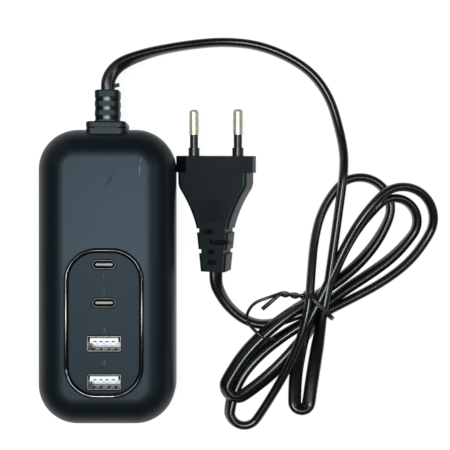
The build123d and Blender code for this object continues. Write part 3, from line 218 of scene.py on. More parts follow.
@dataclass(frozen=True)
class Finish:
    """A surface with a fine grain, a slow change of tone, and any marks.

    The grain is bump, the change of tone runs from the colour to its second colour, and the tint is that of
    the sheen. A band is dark at a height in mm: on the casing the line where two mouldings meet, on a tongue
    painted shade deep in the mouth.
    """

    name: str
    colour: str
    second: str
    roughness: float
    metallic: float = 0.0
    specular: float = 0.5
    tint: str = "ffffff"
    grain_mm: float = 0.5
    relief_mm: float = 0.02
    mottle_mm: float = 9.0
    spread: float = 0.08
    lay: Lay = Lay.EVEN
    marks: tuple[Mark, ...] = ()
    band: float = 0.0
    band_width: float = 0.25

    def material(self) -> bpy.types.Material:
        """Makes the material, or returns it where it is made already."""
        made = bpy.data.materials.get(self.name)
        if made:
            return made
        material = bpy.data.materials.new(self.name)
        material.use_nodes = True
        tree = material.node_tree
        shader = tree.nodes["Principled BSDF"]
        shader.inputs["Metallic"].default_value = self.metallic
        shader.inputs["Specular IOR Level"].default_value = self.specular
        shader.inputs["Specular Tint"].default_value = linear(self.tint)
        place = add_node(tree, "TexCoord").outputs["Object"]
        tone = self.tone(tree, place)
        strokes = [mark.outline(tree, place) for mark in self.marks]
        for mark, share in zip(self.marks, strokes):
            tone = blend(tree, share, tone, linear(mark.colour))
        if self.band:
            tone = self.shaded(tree, place, tone)
        tree.links.new(tone, shader.inputs["Base Color"])
        dull = self.grain(tree, shader, place)
        for mark, share in zip(self.marks, strokes):
            dull = maths(tree, "MULTIPLY_ADD", share, mark.dull, dull)
        tree.links.new(dull, shader.inputs["Roughness"])
        return material

    def tone(self, tree: bpy.types.NodeTree, place: bpy.types.NodeSocket) -> bpy.types.NodeSocket:
        """Adds the slow change of tone.

        Args:
            tree: Node tree of the material.
            place: Object coordinates.

        Returns:
            The colour output.
        """
        patches = add_node(tree, "TexNoise", {"Vector": place, "Scale": 1 / (self.mottle_mm * MM),
                                              "Detail": TONE_DETAIL})
        return blend(tree, patches.outputs[0], linear(self.colour), linear(self.second))

    def shaded(self, tree: bpy.types.NodeTree, place: bpy.types.NodeSocket,
               tone: bpy.types.NodeSocket) -> bpy.types.NodeSocket:
        """Adds the dark band: the joint line of the casing's mouldings, and painted shade deep in a socket's
        mouth on its tongue.

        Args:
            tree: Node tree of the material.
            place: Object coordinates.
            tone: Colour beside the band.

        Returns:
            The colour output.
        """
        height = add_node(tree, "SeparateXYZ", {0: place}).outputs[2]
        inside = maths(tree, "COMPARE", height, self.band * MM, self.band_width / 2 * MM)
        return blend(tree, inside, tone, linear(SEAM_AND_PAINTED_SHADE))

    def grain(self, tree: bpy.types.NodeTree, shader: bpy.types.Node,
              place: bpy.types.NodeSocket) -> bpy.types.NodeSocket:
        """Adds the grain's bump and its change of roughness.

        Args:
            tree: Node tree of the material.
            shader: The surface shader.
            place: Object coordinates.

        Returns:
            The roughness output.
        """
        drawn = add_node(tree, "Mapping", {"Vector": place, "Scale": self.lay.value})
        grit = add_node(tree, "TexNoise", {"Vector": drawn.outputs[0], "Scale": 1 / (self.grain_mm * MM),
                                           "Detail": GRAIN_DETAIL})
        bump = add_node(tree, "Bump", {"Height": grit.outputs[0], "Strength": BUMP_STRENGTH,
                                       "Distance": self.relief_mm * MM})
        tree.links.new(bump.outputs[0], shader.inputs["Normal"])
        dull = add_node(tree, "MapRange", {"Value": grit.outputs[0],
                                           "From Min": GRAIN_RANGE[0],
                                           "From Max": GRAIN_RANGE[1],
                                           "To Min": self.roughness - self.spread / 2,
                                           "To Max": self.roughness + self.spread / 2})
        return dull.outputs[0]


def groove(x: float, y: float, length: float, width: float) -> Mark:
    """Returns painted shade in an open groove across the part, with all four values in mm."""
    return Mark((x, y), length, width, turn=0.0, colour=PAINTED_GROOVE_SHADE, strength=4.0, dull=0.4)


# A dark smudge and light scratches on the casing, near the cord
CASING_MARKS = (
    Mark((2.2, 38.2), 10.0, 2.4, 60.0, RUB, 0.9, 0.1),
    Mark((5.6, 44.6), 6.0, 1.6, 80.0, RUB, 0.7, 0.06),
    Mark((14.0, 42.4), 7.0, 0.9, 88.0, SCRATCH, 0.7),
    Mark((14.6, 46.2), 3.4, 0.7, 68.0, SCRATCH, 0.5),
    Mark((16.4, 38.6), 2.4, 0.8, -45.0, SCRATCH, 0.35),
)

# Painted shade along the plug's grip lines: the middle of the first, their length and width, their pitch and
# their number
GRIP_PLACE = (42.3, 30.3)
GRIP_SIZE = (20.0, 1.1)
GRIP_PITCH = 1.1
GRIP_LINES = 8

# Painted shade in the four slots of the plug's tail and in its grip lines
PLUG_MARKS = (
    groove(40.2, 17.9, 7.0, 3.6),
    groove(45.3, 13.5, 13.0, 3.6),
    groove(41.5, 9.6, 6.0, 3.6),
    groove(42.0, 5.4, 6.4, 4.2),
    *(Mark((GRIP_PLACE[0], GRIP_PLACE[1] - GRIP_PITCH * line), *GRIP_SIZE, turn=0.0, colour=PAINTED_GROOVE_SHADE,
           strength=3.0, dull=0.25) for line in range(GRIP_LINES)),
)

# Openings of the strain relief, row by row: painted shade at both ends and a painted highlight in the middle
GROMMET_ROWS = (71.2, 67.5, 63.8)
GROMMET_MARKS = tuple(
    mark for row in GROMMET_ROWS for mark in (
        groove(-2.9, row, 4.2, 2.6),
        groove(3.2, row, 4.6, 2.6),
        Mark((0.2, row), 4.2, 2.6, turn=0.0, colour=PAINTED_OPENING_HIGHLIGHT, strength=2.0),
    )
)

FINISHES: dict[str, Finish] = {
    # Moulded ABS off a spark-eroded tool: a dull blue-black that greys where it faces the lamp
    "casing_plastic": Finish("moulded ABS, fine texture", "0b1114", "0f161a", 0.4, specular=0.22,
                             tint="d9f0ff", grain_mm=0.45, relief_mm=0.004, spread=0.03,
                             marks=CASING_MARKS, band=14.0),
    # The same ABS off a coarser tool: a shade darker than the casing
    "panel_plastic": Finish("moulded ABS, coarser texture", "0b1116", "0f161c", 0.47, specular=0.21,
                            tint="d9f0ff", grain_mm=0.6, relief_mm=0.006, spread=0.03),
    # Polished ABS: black with sharp reflections
    "ring_plastic": Finish("polished ABS", "07090c", "0a0d11", 0.08, grain_mm=3.0, relief_mm=0.003,
                           spread=0.04),
    # Moulded rubber: flat black
    "foot_rubber": Finish("moulded rubber", "1a1a1a", "222222", 0.85, specular=0.25, grain_mm=0.3),
    # Tinned steel sheet: soft grey reflections
    "socket_steel": Finish("tinned steel sheet", "7d7a73", "6a6862", 0.34, metallic=1.0, grain_mm=0.4,
                           relief_mm=0.004, lay=Lay.UPRIGHT),
    # Moulded white nylon: even and a little waxy
    "tongue_white": Finish("moulded white nylon", "f8fafb", "eff2f4", 0.4, grain_mm=0.3, relief_mm=0.005),
    # Moulded nylon, dull: its pale tip is a painted highlight, and the black band below it is painted shade
    # of the mouth
    "tongue_pale": Finish("nylon tongue, painted highlight and shade", "bcc0c1", "aeb2b3", 0.7, specular=0.1, grain_mm=0.3,
                          relief_mm=0.005, band=22.0, band_width=12.4),
    # Gold flash on bronze: small warm glints
    "contact_gold": Finish("gold flashed bronze", "cdbb8c", "bba978", 0.28, metallic=1.0, grain_mm=0.2,
                           relief_mm=0.004, lay=Lay.UPRIGHT),
    # Tinned bronze, darkened as painted shade deep in the oval mouths: dull
    "contact_tin": Finish("tinned bronze", "4a4843", "3e3c38", 0.4, metallic=1.0, grain_mm=0.2,
                          relief_mm=0.004, lay=Lay.UPRIGHT),
    # Extruded vinyl: near black, with soft light lines on its rounded edges
    "cord_vinyl": Finish("extruded vinyl", "070909", "0c0e0e", 0.26, grain_mm=4.0, relief_mm=0.002,
                         mottle_mm=6.0, spread=0.05),
    # Injection moulded vinyl: satin black, a little duller than the cord; its marks are painted shade and
    # highlight
    "moulded_vinyl": Finish("moulded vinyl", "0a0e0e", "0f1414", 0.46, specular=0.29, tint="e4f8ff",
                            grain_mm=0.8, relief_mm=0.012, marks=PLUG_MARKS + GROMMET_MARKS),
    # Nickel plated brass, turned: pale and satin with a faint warm tint
    "pin_nickel": Finish("nickel plated brass", "e3dfca", "d6d0b8", 0.5, metallic=1.0, grain_mm=0.5,
                         relief_mm=0.002, lay=Lay.ACROSS),
    # Moulded polyamide: satin black
    "sleeve_plastic": Finish("moulded polyamide", "101213", "17191a", 0.34, grain_mm=0.5, relief_mm=0.01),
    # Vinyl drawn over wire: glossy black
    "tie_vinyl": Finish("vinyl covered wire", "121415", "1a1c1d", 0.3, grain_mm=0.8, relief_mm=0.02),
    # Glass laminate under solder mask: glossy green
    "board_laminate": Finish("glass laminate with solder mask", "14502f", "1b6038", 0.35, grain_mm=0.6,
                             mottle_mm=4.0),
    # Zinc plated steel: pale and slightly blue
    "screw_steel": Finish("zinc plated steel", "b9bcc2", "a4a7ad", 0.34, metallic=1.0, grain_mm=0.3),
    # Moulded black polyester: dull
    "header_plastic": Finish("moulded polyester", "1b1b1c", "232324", 0.55, grain_mm=0.4),
    # Moulded epoxy: dull dark grey
    "chip_resin": Finish("moulded epoxy", "1f2021", "27282a", 0.6, grain_mm=0.25),
    # Shrunk vinyl sleeve: glossy dark blue
    "can_sleeve": Finish("shrunk vinyl sleeve", "1c2340", "232b4d", 0.28, grain_mm=1.2),
    # Sintered ferrite: dark grey with pits
    "ferrite": Finish("sintered ferrite", "4a4b4e", "3d3e41", 0.7, grain_mm=0.3, relief_mm=0.05),
    # Polyester tape: glossy yellow
    "winding_tape": Finish("polyester tape", "d7b13a", "c9a02c", 0.3, grain_mm=2.0, lay=Lay.ACROSS),
    # Enamelled copper wire: warm brown
    "winding_copper": Finish("enamelled copper wire", "b5622f", "9c5126", 0.35, metallic=1.0, grain_mm=0.6,
                             relief_mm=0.06, lay=Lay.ACROSS),
    # Dipped ceramic: glossy blue
    "disc_ceramic": Finish("epoxy dipped ceramic", "2f5f9b", "28528a", 0.3, grain_mm=1.0),
    # Moulded phenolic: brown
    "fuse_case": Finish("moulded phenolic", "5a2a1c", "4c2317", 0.45),
    # Stamped aluminium: pale, drawn one way
    "sink_aluminium": Finish("stamped aluminium", "c2c4c7", "b3b5b8", 0.38, metallic=1.0, grain_mm=0.4,
                             lay=Lay.ACROSS),
    # Extruded insulation: dull brown
    "core_insulation": Finish("extruded insulation", "6b3f22", "5d361d", 0.5),
}

# Tinned steel sheet, dulled by use: blurred grey reflections
DULLED_STEEL = Finish("dulled tinned steel sheet", "78756d", "66635c", 0.46, metallic=1.0, grain_mm=0.4,
                      relief_mm=0.004, lay=Lay.UPRIGHT)

# The oval sockets' shells are duller than the rectangular ones
NODE_FINISHES: dict[str, Finish] = {"usb_c_shell_1": DULLED_STEEL, "usb_c_shell_2": DULLED_STEEL}

# Pad printed ink: a thin grey that hardly stands out from the panel
INK = Finish("pad printed grey ink", "3a4449", "444e53", 0.6, specular=0.3, grain_mm=0.3, relief_mm=0.003)

# Painted shade in the open slots of the white nylon: brown
PAINTED_SLOT_SHADE = Finish("painted shade of contact slot", "4a4238", "3a332b", 0.6, specular=0.3, grain_mm=0.3,
                      relief_mm=0.003)


def keep(obj: bpy.types.Object, slot: str, *stands_for: str,
         finish: Finish | None = None) -> bpy.types.Object:
    """Puts a new piece on the part.

    Args:
        obj: The new piece, in place.
        slot: Material slot that it belongs to.
        stands_for: Nodes that it is shown in place of.
        finish: Its own finish, where that isn't the slot's.

    Returns:
        The piece.
    """
    obj.data.materials.clear()
    obj.data.materials.append((finish or FINISHES[slot]).material())
    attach(obj, BODY)
    if stands_for:
        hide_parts(*stands_for)
    log.info("made %s", obj.name)
    return obj


def link(name: str, data: bpy.types.ID) -> bpy.types.Object:
    """Puts mesh or curve data into the scene as an object."""
    obj = bpy.data.objects.new(name, data)
    bpy.context.scene.collection.objects.link(obj)
    return obj


def solid(name: str, build: bmesh.types.BMesh) -> bpy.types.Object:
    """Turns a bmesh to an object with its faces outward."""
    bmesh.ops.recalc_face_normals(build, faces=build.faces)
    mesh = bpy.data.meshes.new(name)
    build.to_mesh(mesh)
    build.free()
    return link(name, mesh)


@dataclass
class SubAssembly:
    """Pieces of the part that keep their shape and are dressed together."""

    nodes: tuple[str, ...] = ()

    def dress(self) -> None:
        """Puts its own finish or its slot's on each piece."""
        slots = {entry["node"]: entry["material_slot"] for entry in frame["record"]["subparts"]}
        for node in self.nodes:
            piece = frame["nodes"][node]
            piece.data.materials.clear()
            piece.data.materials.append(NODE_FINISHES.get(node, FINISHES[slots[node]]).material())
            log.info("dressed %s", node)


@dataclass
class Casing(SubAssembly):
    """The two moulded shells and the feet."""

    nodes: tuple[str, ...] = ("upper_shell", "lower_shell", "feet")


@dataclass
class SocketPanel(SubAssembly):
    """The ring, the panel with its four numbered sockets, and what shows in their mouths, in mm."""

    nodes: tuple[str, ...] = (
        "trim_ring", "port_panel", "usb_c_shell_1", "usb_c_shell_2", "usb_c_tongue_1", "usb_c_tongue_2",
        "usb_c_contacts_1", "usb_c_contacts_2", "usb_a_shell_1", "usb_a_shell_2", "usb_a_tongue_1",
        "usb_a_tongue_2", "usb_a_contacts_1", "usb_a_contacts_2",
    )
    figure_ys: tuple[float, ...] = (0.75, -5.6, -20.6, -33.4)
    figure_height: float = 3.2
    ink: float = 0.02
    slot_pitch: float = 2.4
    slot_count: int = 4
    slot_size: Size = (1.4, 0.45, 0.06)
    slot_share: float = 0.3

    def figures(self) -> None:
        """Prints the sockets' numbers on the panel."""
        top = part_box("port_panel")[1].z
        build = bmesh.new()
        for number, y in enumerate(self.figure_ys, start=1):
            curve = bpy.data.curves.new("figure", "FONT")
            curve.body = str(number)
            curve.size = self.figure_height * MM
            curve.align_x = "CENTER"
            curve.align_y = "CENTER"
            curve.extrude = self.ink / 2 * MM
            draft = link("figure", curve)
            state = bpy.context.evaluated_depsgraph_get()
            shape = bpy.data.meshes.new_from_object(draft.evaluated_get(state))
            bpy.data.objects.remove(draft)
            shape.transform(Matrix.Translation((0, y * MM, top + self.ink / 2 * MM)))
            build.from_mesh(shape)
        keep(solid("port_figures", build), "panel_plastic", finish=INK)

    def contact_slots(self, node: str, name: str) -> None:
        """Sets thin brown boxes half sunk into the end of one white tongue: painted shade in its row of
        contact slots.

        Args:
            node: The tongue.
            name: Name of the new piece.
        """
        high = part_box(node)[1]
        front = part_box(node.replace("tongue", "contacts"))[1].y
        y = front + (high.y - front) * self.slot_share
        build = bmesh.new()
        for i in range(self.slot_count):
            x = (i - (self.slot_count - 1) / 2) * self.slot_pitch * MM
            place = Matrix.Translation((x, y, high.z)) @ Matrix.Diagonal((*(Vector(self.slot_size) * MM), 1))
            bmesh.ops.create_cube(build, size=1, matrix=place)
        keep(solid(name, build), "tongue_white", finish=PAINTED_SLOT_SHADE)

    def build(self) -> None:
        """Adds the figures and the painted shade in the contact slots."""
        self.figures()
        self.contact_slots("usb_a_tongue_1", "contact_slot_shade_1")
        self.contact_slots("usb_a_tongue_2", "contact_slot_shade_2")


@dataclass
class StrainRelief(SubAssembly):
    """The slotted grommet, with the sliver of flash left at its tip, in mm."""

    nodes: tuple[str, ...] = ("strain_relief",)
    flash_place: Point = (3.5, 77.2, 17.0)
    flash_size: Size = (2.4, 1.5, 0.8)
    flash_turn: float = 14.0
    flash_round: float = 0.15
    flash_facets: int = 2

    def build(self) -> None:
        """Adds the sliver of flash beside the cord."""
        build = bmesh.new()
        bmesh.ops.create_cube(build, size=1, matrix=Matrix.Diagonal((*(Vector(self.flash_size) * MM), 1)))
        bmesh.ops.bevel(build, geom=build.edges[:], offset=self.flash_round * MM, affect="EDGES",
                        segments=self.flash_facets, profile=0.5, material=-1)
        turn = Matrix.Translation(Vector(self.flash_place) * MM) @ Matrix.Rotation(
            math.radians(self.flash_turn), 4, "Z")
        bmesh.ops.transform(build, matrix=turn, verts=build.verts)
        keep(solid("mould_flash", build), "moulded_vinyl")


@dataclass
class MainsPlug(SubAssembly):
    """The two-pin plug."""

    nodes: tuple[str, ...] = ("plug_body", "plug_pins", "pin_sleeves")


@dataclass
class InnerParts(SubAssembly):
    """The boards and what stands on them inside the casing."""

    nodes: tuple[str, ...] = (
        "main_board", "port_board", "board_header", "board_screws", "inlet_leads", "fuse", "film_capacitor",
        "choke_core", "choke_winding", "bridge_rectifier", "bulk_capacitor_1", "bulk_capacitor_2",
        "power_transistor", "heat_sink", "transformer_core", "transformer_bobbin", "transformer_winding",
        "disc_capacitor", "optocoupler", "output_capacitor_1", "output_capacitor_2", "output_capacitor_3",
        "power_inductor_1", "power_inductor_2", "controller_chips",
    )


def heading(angle: float) -> Vector:
    """Unit vector on the floor at an angle in degrees."""
    return Vector((math.cos(math.radians(angle)), math.sin(math.radians(angle))))


def strand(start: Vector, start_angle: float, end: Vector, end_angle: float, share: float) -> Vector:
    """Place on a strand that leaves and meets two places at given headings.

    Args:
        start: Where the strand starts, on the floor.
        start_angle: Heading there, in degrees.
        end: Where it ends.
        end_angle: Heading there, in degrees.
        share: How far along, from 0 to 1.

    Returns:
        The place on the floor.
    """
    chord = (end - start).length
    square = share * share
    cube = square * share
    near = (2 * cube - 3 * square + 1) * start + (cube - 2 * square + share) * chord * heading(start_angle)
    far = (3 * square - 2 * cube) * end + (cube - square) * chord * heading(end_angle)
    return near + far


def draw(name: str, route: list[RoutePoint], radii: list[float] | None = None) -> bpy.types.Curve:
    """Draws one smooth spline.

    Args:
        name: Name of the curve.
        route: Places in mm with the tilt in degrees.
        radii: Share of the full thickness at each place, where it changes.

    Returns:
        The curve.
    """
    curve = bpy.data.curves.new(name, "CURVE")
    curve.dimensions = "3D"
    curve.use_fill_caps = True
    spline = curve.splines.new("NURBS")
    spline.points.add(len(route) - 1)
    for i, (point, (x, y, z, tilt)) in enumerate(zip(spline.points, route)):
        point.co = (x * MM, y * MM, z * MM, 1.0)
        point.tilt = math.radians(tilt)
        point.radius = radii[i] if radii else 1.0
    spline.order_u = SPLINE_ORDER
    spline.use_endpoint_u = True
    spline.use_smooth = True
    return curve


@dataclass(frozen=True)
class TiePass:
    """One pass of the cord through the twist tie: place in mm, heading and tilt in degrees."""

    place: Point
    heading: float
    tilt: float


@dataclass(frozen=True)
class Turn:
    """One turn of the hank: the pass that it starts from and its round tip, in mm and degrees.

    The heights with their tilts are those of three places on the way out, of the tip's two ends, and of three
    on the way back. The crest is the tilt that the tip's middle has above its ends'.
    """

    start: TiePass
    centre: tuple[float, float]
    radius: float
    angles: tuple[float, float]
    out: tuple[HeightTilt, HeightTilt, HeightTilt]
    tip: tuple[HeightTilt, HeightTilt]
    back: tuple[HeightTilt, HeightTilt, HeightTilt]
    crest: float = 0.0


@dataclass
class FlatCord:
    """The flat two-core cord from the strain relief through the hank to the plug.

    Places are in mm, with the cord's tilt in degrees after them: 0 lies flat and 90 stands on edge. The
    length is in m, and the arc step is in degrees. The shares are the places on a strand that get a point.
    """

    width: float = 5.7
    thickness: float = 3.55
    exit: Point = (0.0, 75.0, 17.0)
    length: float = 1.03
    arc_step: float = 26.0
    shares: tuple[float, float, float] = (0.25, 0.5, 0.75)
    smoothness: int = 8
    section_smoothness: int = 3
    lead: tuple[RoutePoint, ...] = (
        (0.0, 53.0, 17.0, 0), (0.0, 66.0, 17.0, 0), (0.0, 75.0, 17.0, 0), (0.0, 79.4, 17.0, 8),
        (2.6, 84.0, 16.4, 25), (6.4, 87.0, 15.2, 45), (11.6, 89.6, 13.2, 66), (20.0, 92.8, 9.6, 86),
        (32.5, 95.9, 5.2, 90), (46.5, 97.6, 3.1, 90), (60.5, 96.4, 2.95, 90), (73.5, 91.6, 2.95, 90),
        (84.3, 84.4, 2.95, 90), (91.6, 73.8, 2.95, 90), (95.4, 60.6, 3.2, 90), (97.0, 51.0, 5.4, 90),
        (96.5, 42.5, 9.0, 90), (95.2, 32.5, 9.0, 90), (93.6, 21.0, 8.9, 90), (91.7, 8.0, 9.1, 90),
        (89.7, -5.6, 9.6, 90),
    )
    turns: tuple[Turn, ...] = (
        Turn(TiePass((87.8, -14.8, 9.9), -97, 90), (79.6, -53.6), 2.95, (-7, -179),
             ((8.0, 60), (5.0, 14), (3.2, 4)), ((2.6, 10), (2.6, 10)),
             ((3.6, 4), (6.8, 20), (9.0, 62)), 40),
        Turn(TiePass((85.0, -13.2, 9.9), 61, 90), (120.9, 22.8), 13.6, (132, -24),
             ((9.4, 90), (9.2, 90), (11.6, 90)), ((12.0, 90), (2.9, 90)),
             ((2.9, 90), (2.9, 90), (2.9, 90))),
        Turn(TiePass((85.0, -17.8, 4.0), 207, 82), (55.5, -57.1), 6.3, (183, 327),
             ((3.6, 56), (2.6, 25), (2.6, 27)), ((2.95, 60), (2.95, 78)),
             ((4.4, 80), (6.6, 82), (9.0, 86)), 10),
        Turn(TiePass((82.0, -12.4, 9.9), 83, 90), (104.0, 27.8), 12.8, (134, -22),
             ((7.6, 90), (4.4, 90), (2.9, 90)), ((2.9, 90), (2.9, 84)),
             ((2.9, 66), (2.75, 58), (2.9, 66))),
        Turn(TiePass((85.6, -9.0, 4.0), 210, 82), (52.4, -46.6), 4.7, (156, 302),
             ((5.6, 60), (6.0, 40), (5.8, 30)), ((5.6, 26), (4.6, 30)),
             ((2.8, 24), (2.4, 12), (3.4, 40)), 30),
        Turn(TiePass((87.0, -15.0, 6.4), 67, 60), (117.9, 22.0), 9.8, (133, -32),
             ((4.6, 80), (3.4, 90), (5.0, 90)), ((8.4, 90), (2.9, 84)),
             ((2.9, 68), (2.75, 60), (2.9, 66))),
    )
    last_pass: TiePass = TiePass((87.4, -14.5, 4.0), 224, 82)
    tail: tuple[RoutePoint, ...] = (
        (79.4, -16.6, 3.2, 82), (73.4, -18.6, 2.95, 80), (68.4, -20.5, 2.95, 78), (62.0, -21.2, 2.95, 76),
        (55.4, -19.0, 2.95, 74), (49.4, -14.1, 3.2, 70), (45.6, -8.6, 4.2, 58), (43.6, -3.6, 6.1, 34),
        (43.6, 1.8, 6.78, 18), (43.6, 5.0, 7.05, 18),
    )

    def turn_points(self, turn: Turn, after: TiePass) -> list[RoutePoint]:
        """Works out the points of one turn.

        Args:
            turn: The turn.
            after: The pass that it ends at, which belongs to what follows.

        Returns:
            Places with their tilts, from the turn's own pass on.
        """
        first, last = turn.angles
        count = math.ceil(abs(last - first) / self.arc_step)
        step = (last - first) / count
        ahead = math.copysign(90, step)
        reach = turn.radius / math.cos(math.radians(step / 2))
        arc = [Vector(turn.centre) + reach * heading(first + step * i) for i in range(count + 1)]
        start = Vector(turn.start.place[:2])
        end = Vector(after.place[:2])
        points = [(*turn.start.place, turn.start.tilt)]
        for share, (height, tilt) in zip(self.shares, turn.out):
            place = strand(start, turn.start.heading, arc[0], first + ahead, share)
            points.append((*place, height, tilt))
        for i, place in enumerate(arc):
            height, tilt = Vector(turn.tip[0]).lerp(Vector(turn.tip[1]), i / count)
            points.append((*place, height, tilt + turn.crest * math.sin(math.pi * i / count)))
        for share, (height, tilt) in zip(self.shares, turn.back):
            place = strand(arc[-1], last + ahead, end, after.heading, share)
            points.append((*place, height, tilt))
        return points

    def route(self) -> list[RoutePoint]:
        """Returns the whole cord's points, from inside the casing to inside the plug."""
        points = list(self.lead)
        passes = [turn.start for turn in self.turns[1:]] + [self.last_pass]
        for turn, after in zip(self.turns, passes):
            points += self.turn_points(turn, after)
        points.append((*self.last_pass.place, self.last_pass.tilt))
        return points + list(self.tail)

    def profile(self) -> bpy.types.Object:
        """Makes the flat oval that the cord is drawn with."""
        curve = bpy.data.curves.new("cord_section", "CURVE")
        curve.dimensions = "2D"
        curve.resolution_u = self.section_smoothness
        side = self.width / 2 - self.thickness / 2
        half = self.thickness / 2
        pull = half * CIRCLE_HANDLE
        corners = ((side, half, -1), (-side, half, -1), (-side - half, 0, 0),
                   (-side, -half, 1), (side, -half, 1), (side + half, 0, 0))
        oval = curve.splines.new("BEZIER")
        oval.bezier_points.add(len(corners) - 1)
        for point, (x, y, run) in zip(oval.bezier_points, corners):
            turn = Vector((run * pull, 0, 0)) if run else Vector((0, math.copysign(pull, x), 0))
            point.co = Vector((x, y, 0)) * MM
            point.handle_left = (Vector((x, y, 0)) - turn) * MM
            point.handle_right = (Vector((x, y, 0)) + turn) * MM
        oval.use_cyclic_u = True
        section = link("cord_section", curve)
        section.hide_render = True
        section.hide_viewport = True
        return section

    def build(self, *carried: bpy.types.Object) -> None:
        """Args:
            carried: New pieces that are on the cord; not used.
        """
        curve = draw("flat_cord", self.route())
        curve.resolution_u = self.smoothness
        curve.twist_mode = "Z_UP"
        curve.bevel_mode = "OBJECT"
        curve.bevel_object = self.profile()
        cord = keep(link("flat_cord", curve), "cord_vinyl", "cord_lead", "cord_hank", "cord_tail")


@dataclass
class TwistTie:
    """The covered wire that goes twice round the hank, with its twisted stem and two loose ends, in mm.

    The wire's size is its radius. Across is the heading of its rounds in degrees, and the slant is how far
    they lie to each side of the middle. The stem spread and the short share are shares of the radius.
    """

    wire: float = 0.68
    smoothness: int = 5
    facets: int = 3
    middle: tuple[float, float] = (86.3, -12.7)
    across: float = -44.0
    reach: float = 8.0
    bottom: float = 0.75
    top: float = 13.5
    slant: float = 0.6
    rounds: int = 2
    round_steps: int = 8
    squareness: float = 0.5
    stem_near: Point = (80.2, -9.0, 8.6)
    stem_far: Point = (70.4, -8.2, 2.6)
    stem_turns: float = 1.25
    stem_steps: int = 8
    stem_spread: float = 1.1
    long_end: tuple[Point, ...] = (
        (69.0, -27.4, 5.4), (65.8, -27.0, 7.0), (62.0, -25.2, 8.4), (58.3, -21.8, 6.6), (56.4, -18.8, 4.9),
        (56.8, -15.7, 3.0), (59.8, -11.9, 1.6), (65.8, -9.8, 1.6),
    )
    short_end: tuple[Point, ...] = ((66.6, -11.7, 2.2), (63.2, -14.7, 1.2))
    short_share: float = 1.35

    def stem(self, phase: float, outward: bool) -> list[Vector]:
        """Points of one of the stem's two twisted wires.

        Args:
            phase: Where the wire starts round the stem, in degrees.
            outward: True where it runs from the hank to the loose ends.

        Returns:
            The places in mm.
        """
        near = Vector(self.stem_near)
        far = Vector(self.stem_far)
        axis = (far - near).normalized()
        side = axis.cross(Vector((0, 0, 1))).normalized()
        lift = side.cross(axis)
        count = round(self.stem_turns * self.stem_steps)
        points = []
        for i in range(count + 1):
            angle = math.radians(phase + 360 * i / self.stem_steps)
            around = side * math.cos(angle) + lift * math.sin(angle)
            points.append(near.lerp(far, i / count) + around * self.wire * self.stem_spread)
        return points if outward else points[::-1]

    def wrap(self) -> list[Vector]:
        """Points of the rounds about the hank, in mm."""
        run = heading(self.across)
        aside = Vector((-run.y, run.x))
        half = (self.top - self.bottom) / 2
        points = []
        count = self.rounds * self.round_steps
        for i in range(count + 1):
            angle = math.radians(180 - 360 * i / self.round_steps)
            bulge = max(abs(math.cos(angle)), abs(math.sin(angle))) ** self.squareness
            along = self.reach * math.cos(angle) / bulge
            slide = self.slant * (1 - 2 * i / count)
            place = Vector(self.middle) + run * along + aside * slide
            points.append(Vector((place.x, place.y, self.bottom + half + half * math.sin(angle) / bulge)))
        return points

    def build(self) -> bpy.types.Object:
        """Draws the wire as one spline and returns it."""
        route = [Vector(p) for p in self.long_end]
        route += self.stem(0, False) + self.wrap() + self.stem(180, True)
        radii = [1.0] * len(route) + [self.short_share] * len(self.short_end)
        route += [Vector(p) for p in self.short_end]
        curve = draw("twist_tie", [(*place, 0.0) for place in route], radii)
        curve.resolution_u = self.smoothness
        curve.bevel_depth = self.wire * MM
        curve.bevel_resolution = self.facets
        return keep(link("wire_tie", curve), "tie_vinyl", "twist_tie")


@dataclass(frozen=True)
class Lamp:
    """A soft lamp: place, size and aim in mm, power in watts, and colour as sRGB hex."""

    name: str
    place: Point
    size: tuple[float, float]
    power: float
    colour: str
    aim: Point = (20, 10, 10)

    def hang(self) -> None:
        """Hangs the lamp, out of the camera's sight."""
        light = bpy.data.lights.new(self.name, "AREA")
        light.shape = "RECTANGLE"
        light.size = self.size[0] * MM
        light.size_y = self.size[1] * MM
        light.energy = self.power
        light.color = linear(self.colour)[:3]
        lamp = link(self.name, light)
        lamp.location = Vector(self.place) * MM
        lamp.rotation_euler = (Vector(self.aim) - Vector(self.place)).to_track_quat("-Z", "Y").to_euler()
        lamp.visible_camera = False


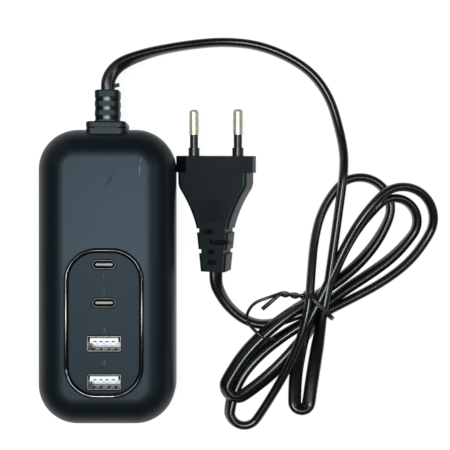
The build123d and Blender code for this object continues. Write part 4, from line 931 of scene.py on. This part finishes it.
@dataclass
class Studio:
    """White floor, soft lamps, pale air and a camera straight above, in mm.

    The tube and the strip hang level and give glints on glossy faces.
    """

    eye: Point = (47.4, 20.7, 400.0)
    lens: float = 75.7
    sensor: float = 36.0
    nearest: float = 10.0
    floor_size: float = 12000.0
    floor_gap: float = 0.1
    floor_glow: float = 0.91
    floor_white: float = 0.15
    paper: str = "d8d8d8"
    air: float = 0.08
    air_colour: str = "eaf5f2"
    lamps: tuple[Lamp, ...] = (
        Lamp("overhead_lamp", (-76, 20, 1000), (310, 310), 6.0, "e8f4ff"),
        Lamp("window_lamp", (-700, 700, 500), (900, 600), 1.0, "f0fbf4"),
        Lamp("side_lamp", (750, 100, 950), (300, 300), 1.5, "f0f8ff"),
        Lamp("tube_lamp", (60, -105, 1000), (600, 40), 2.0, "fff8ee", (60, -105, 0)),
        Lamp("strip_lamp", (-123, 20, 1000), (26, 240), 0.6, "fff8ee", (-123, 20, 0)),
    )

    def floor(self) -> None:
        """Lays the floor, which is white to the eye and keeps the shadow."""
        build = bmesh.new()
        bmesh.ops.create_grid(build, x_segments=1, y_segments=1, size=self.floor_size * MM / 2)
        bmesh.ops.translate(build, vec=(0, 0, CAD_BOX[0][2] - self.floor_gap * MM), verts=build.verts)
        material = bpy.data.materials.new("white paper")
        material.use_nodes = True
        tree = material.node_tree
        tree.nodes.clear()
        rays = add_node(tree, "LightPath").outputs
        seen = maths(tree, "ADD", rays["Is Camera Ray"], rays["Is Glossy Ray"])
        seen = maths(tree, "ADD", seen, rays["Is Transmission Ray"], clamp=True)
        paper = add_node(tree, "BsdfDiffuse", {"Color": linear(self.paper)})
        white = self.floor_white
        pale = add_node(tree, "BsdfDiffuse", {"Color": (white, white, white, 1)})
        glow = add_node(tree, "Emission", {"Strength": self.floor_glow})
        lit = add_node(tree, "AddShader", {0: pale.outputs[0], 1: glow.outputs[0]})
        both = add_node(tree, "MixShader", {0: seen, 1: paper.outputs[0], 2: lit.outputs[0]})
        add_node(tree, "OutputMaterial", {"Surface": both.outputs[0]})
        floor = solid("floor", build)
        floor.data.materials.append(material)

    def room(self) -> None:
        """Fills the room with pale light."""
        world = bpy.data.worlds.new("pale room")
        bpy.context.scene.world = world
        world.use_nodes = True
        background = world.node_tree.nodes["Background"]
        background.inputs["Color"].default_value = linear(self.air_colour)
        background.inputs["Strength"].default_value = self.air

    def camera(self) -> None:
        """Hangs the camera, looking straight down."""
        camera = bpy.data.cameras.new("overhead_camera")
        camera.lens = self.lens
        camera.sensor_width = self.sensor
        camera.clip_start = self.nearest * MM
        eye = link("overhead_camera", camera)
        eye.location = Vector(self.eye) * MM
        bpy.context.scene.camera = eye
        bpy.context.scene.view_settings.view_transform = "Standard"

    def build(self) -> None:
        """Sets up the floor, the lamps, the room and the camera."""
        self.floor()
        for lamp in self.lamps:
            lamp.hang()
        self.room()
        self.camera()


def main() -> None:
    """Builds the pieces in order."""
    logging.basicConfig(level=logging.INFO, format="%(name)s: %(message)s")
    sockets = SocketPanel()
    relief = StrainRelief()
    for assembly in (Casing(), sockets, relief, MainsPlug(), InnerParts()):
        assembly.dress()
    sockets.build()
    relief.build()
    FlatCord().build(TwistTie().build())
    Studio().build()


if __name__ == "__main__":
    main()
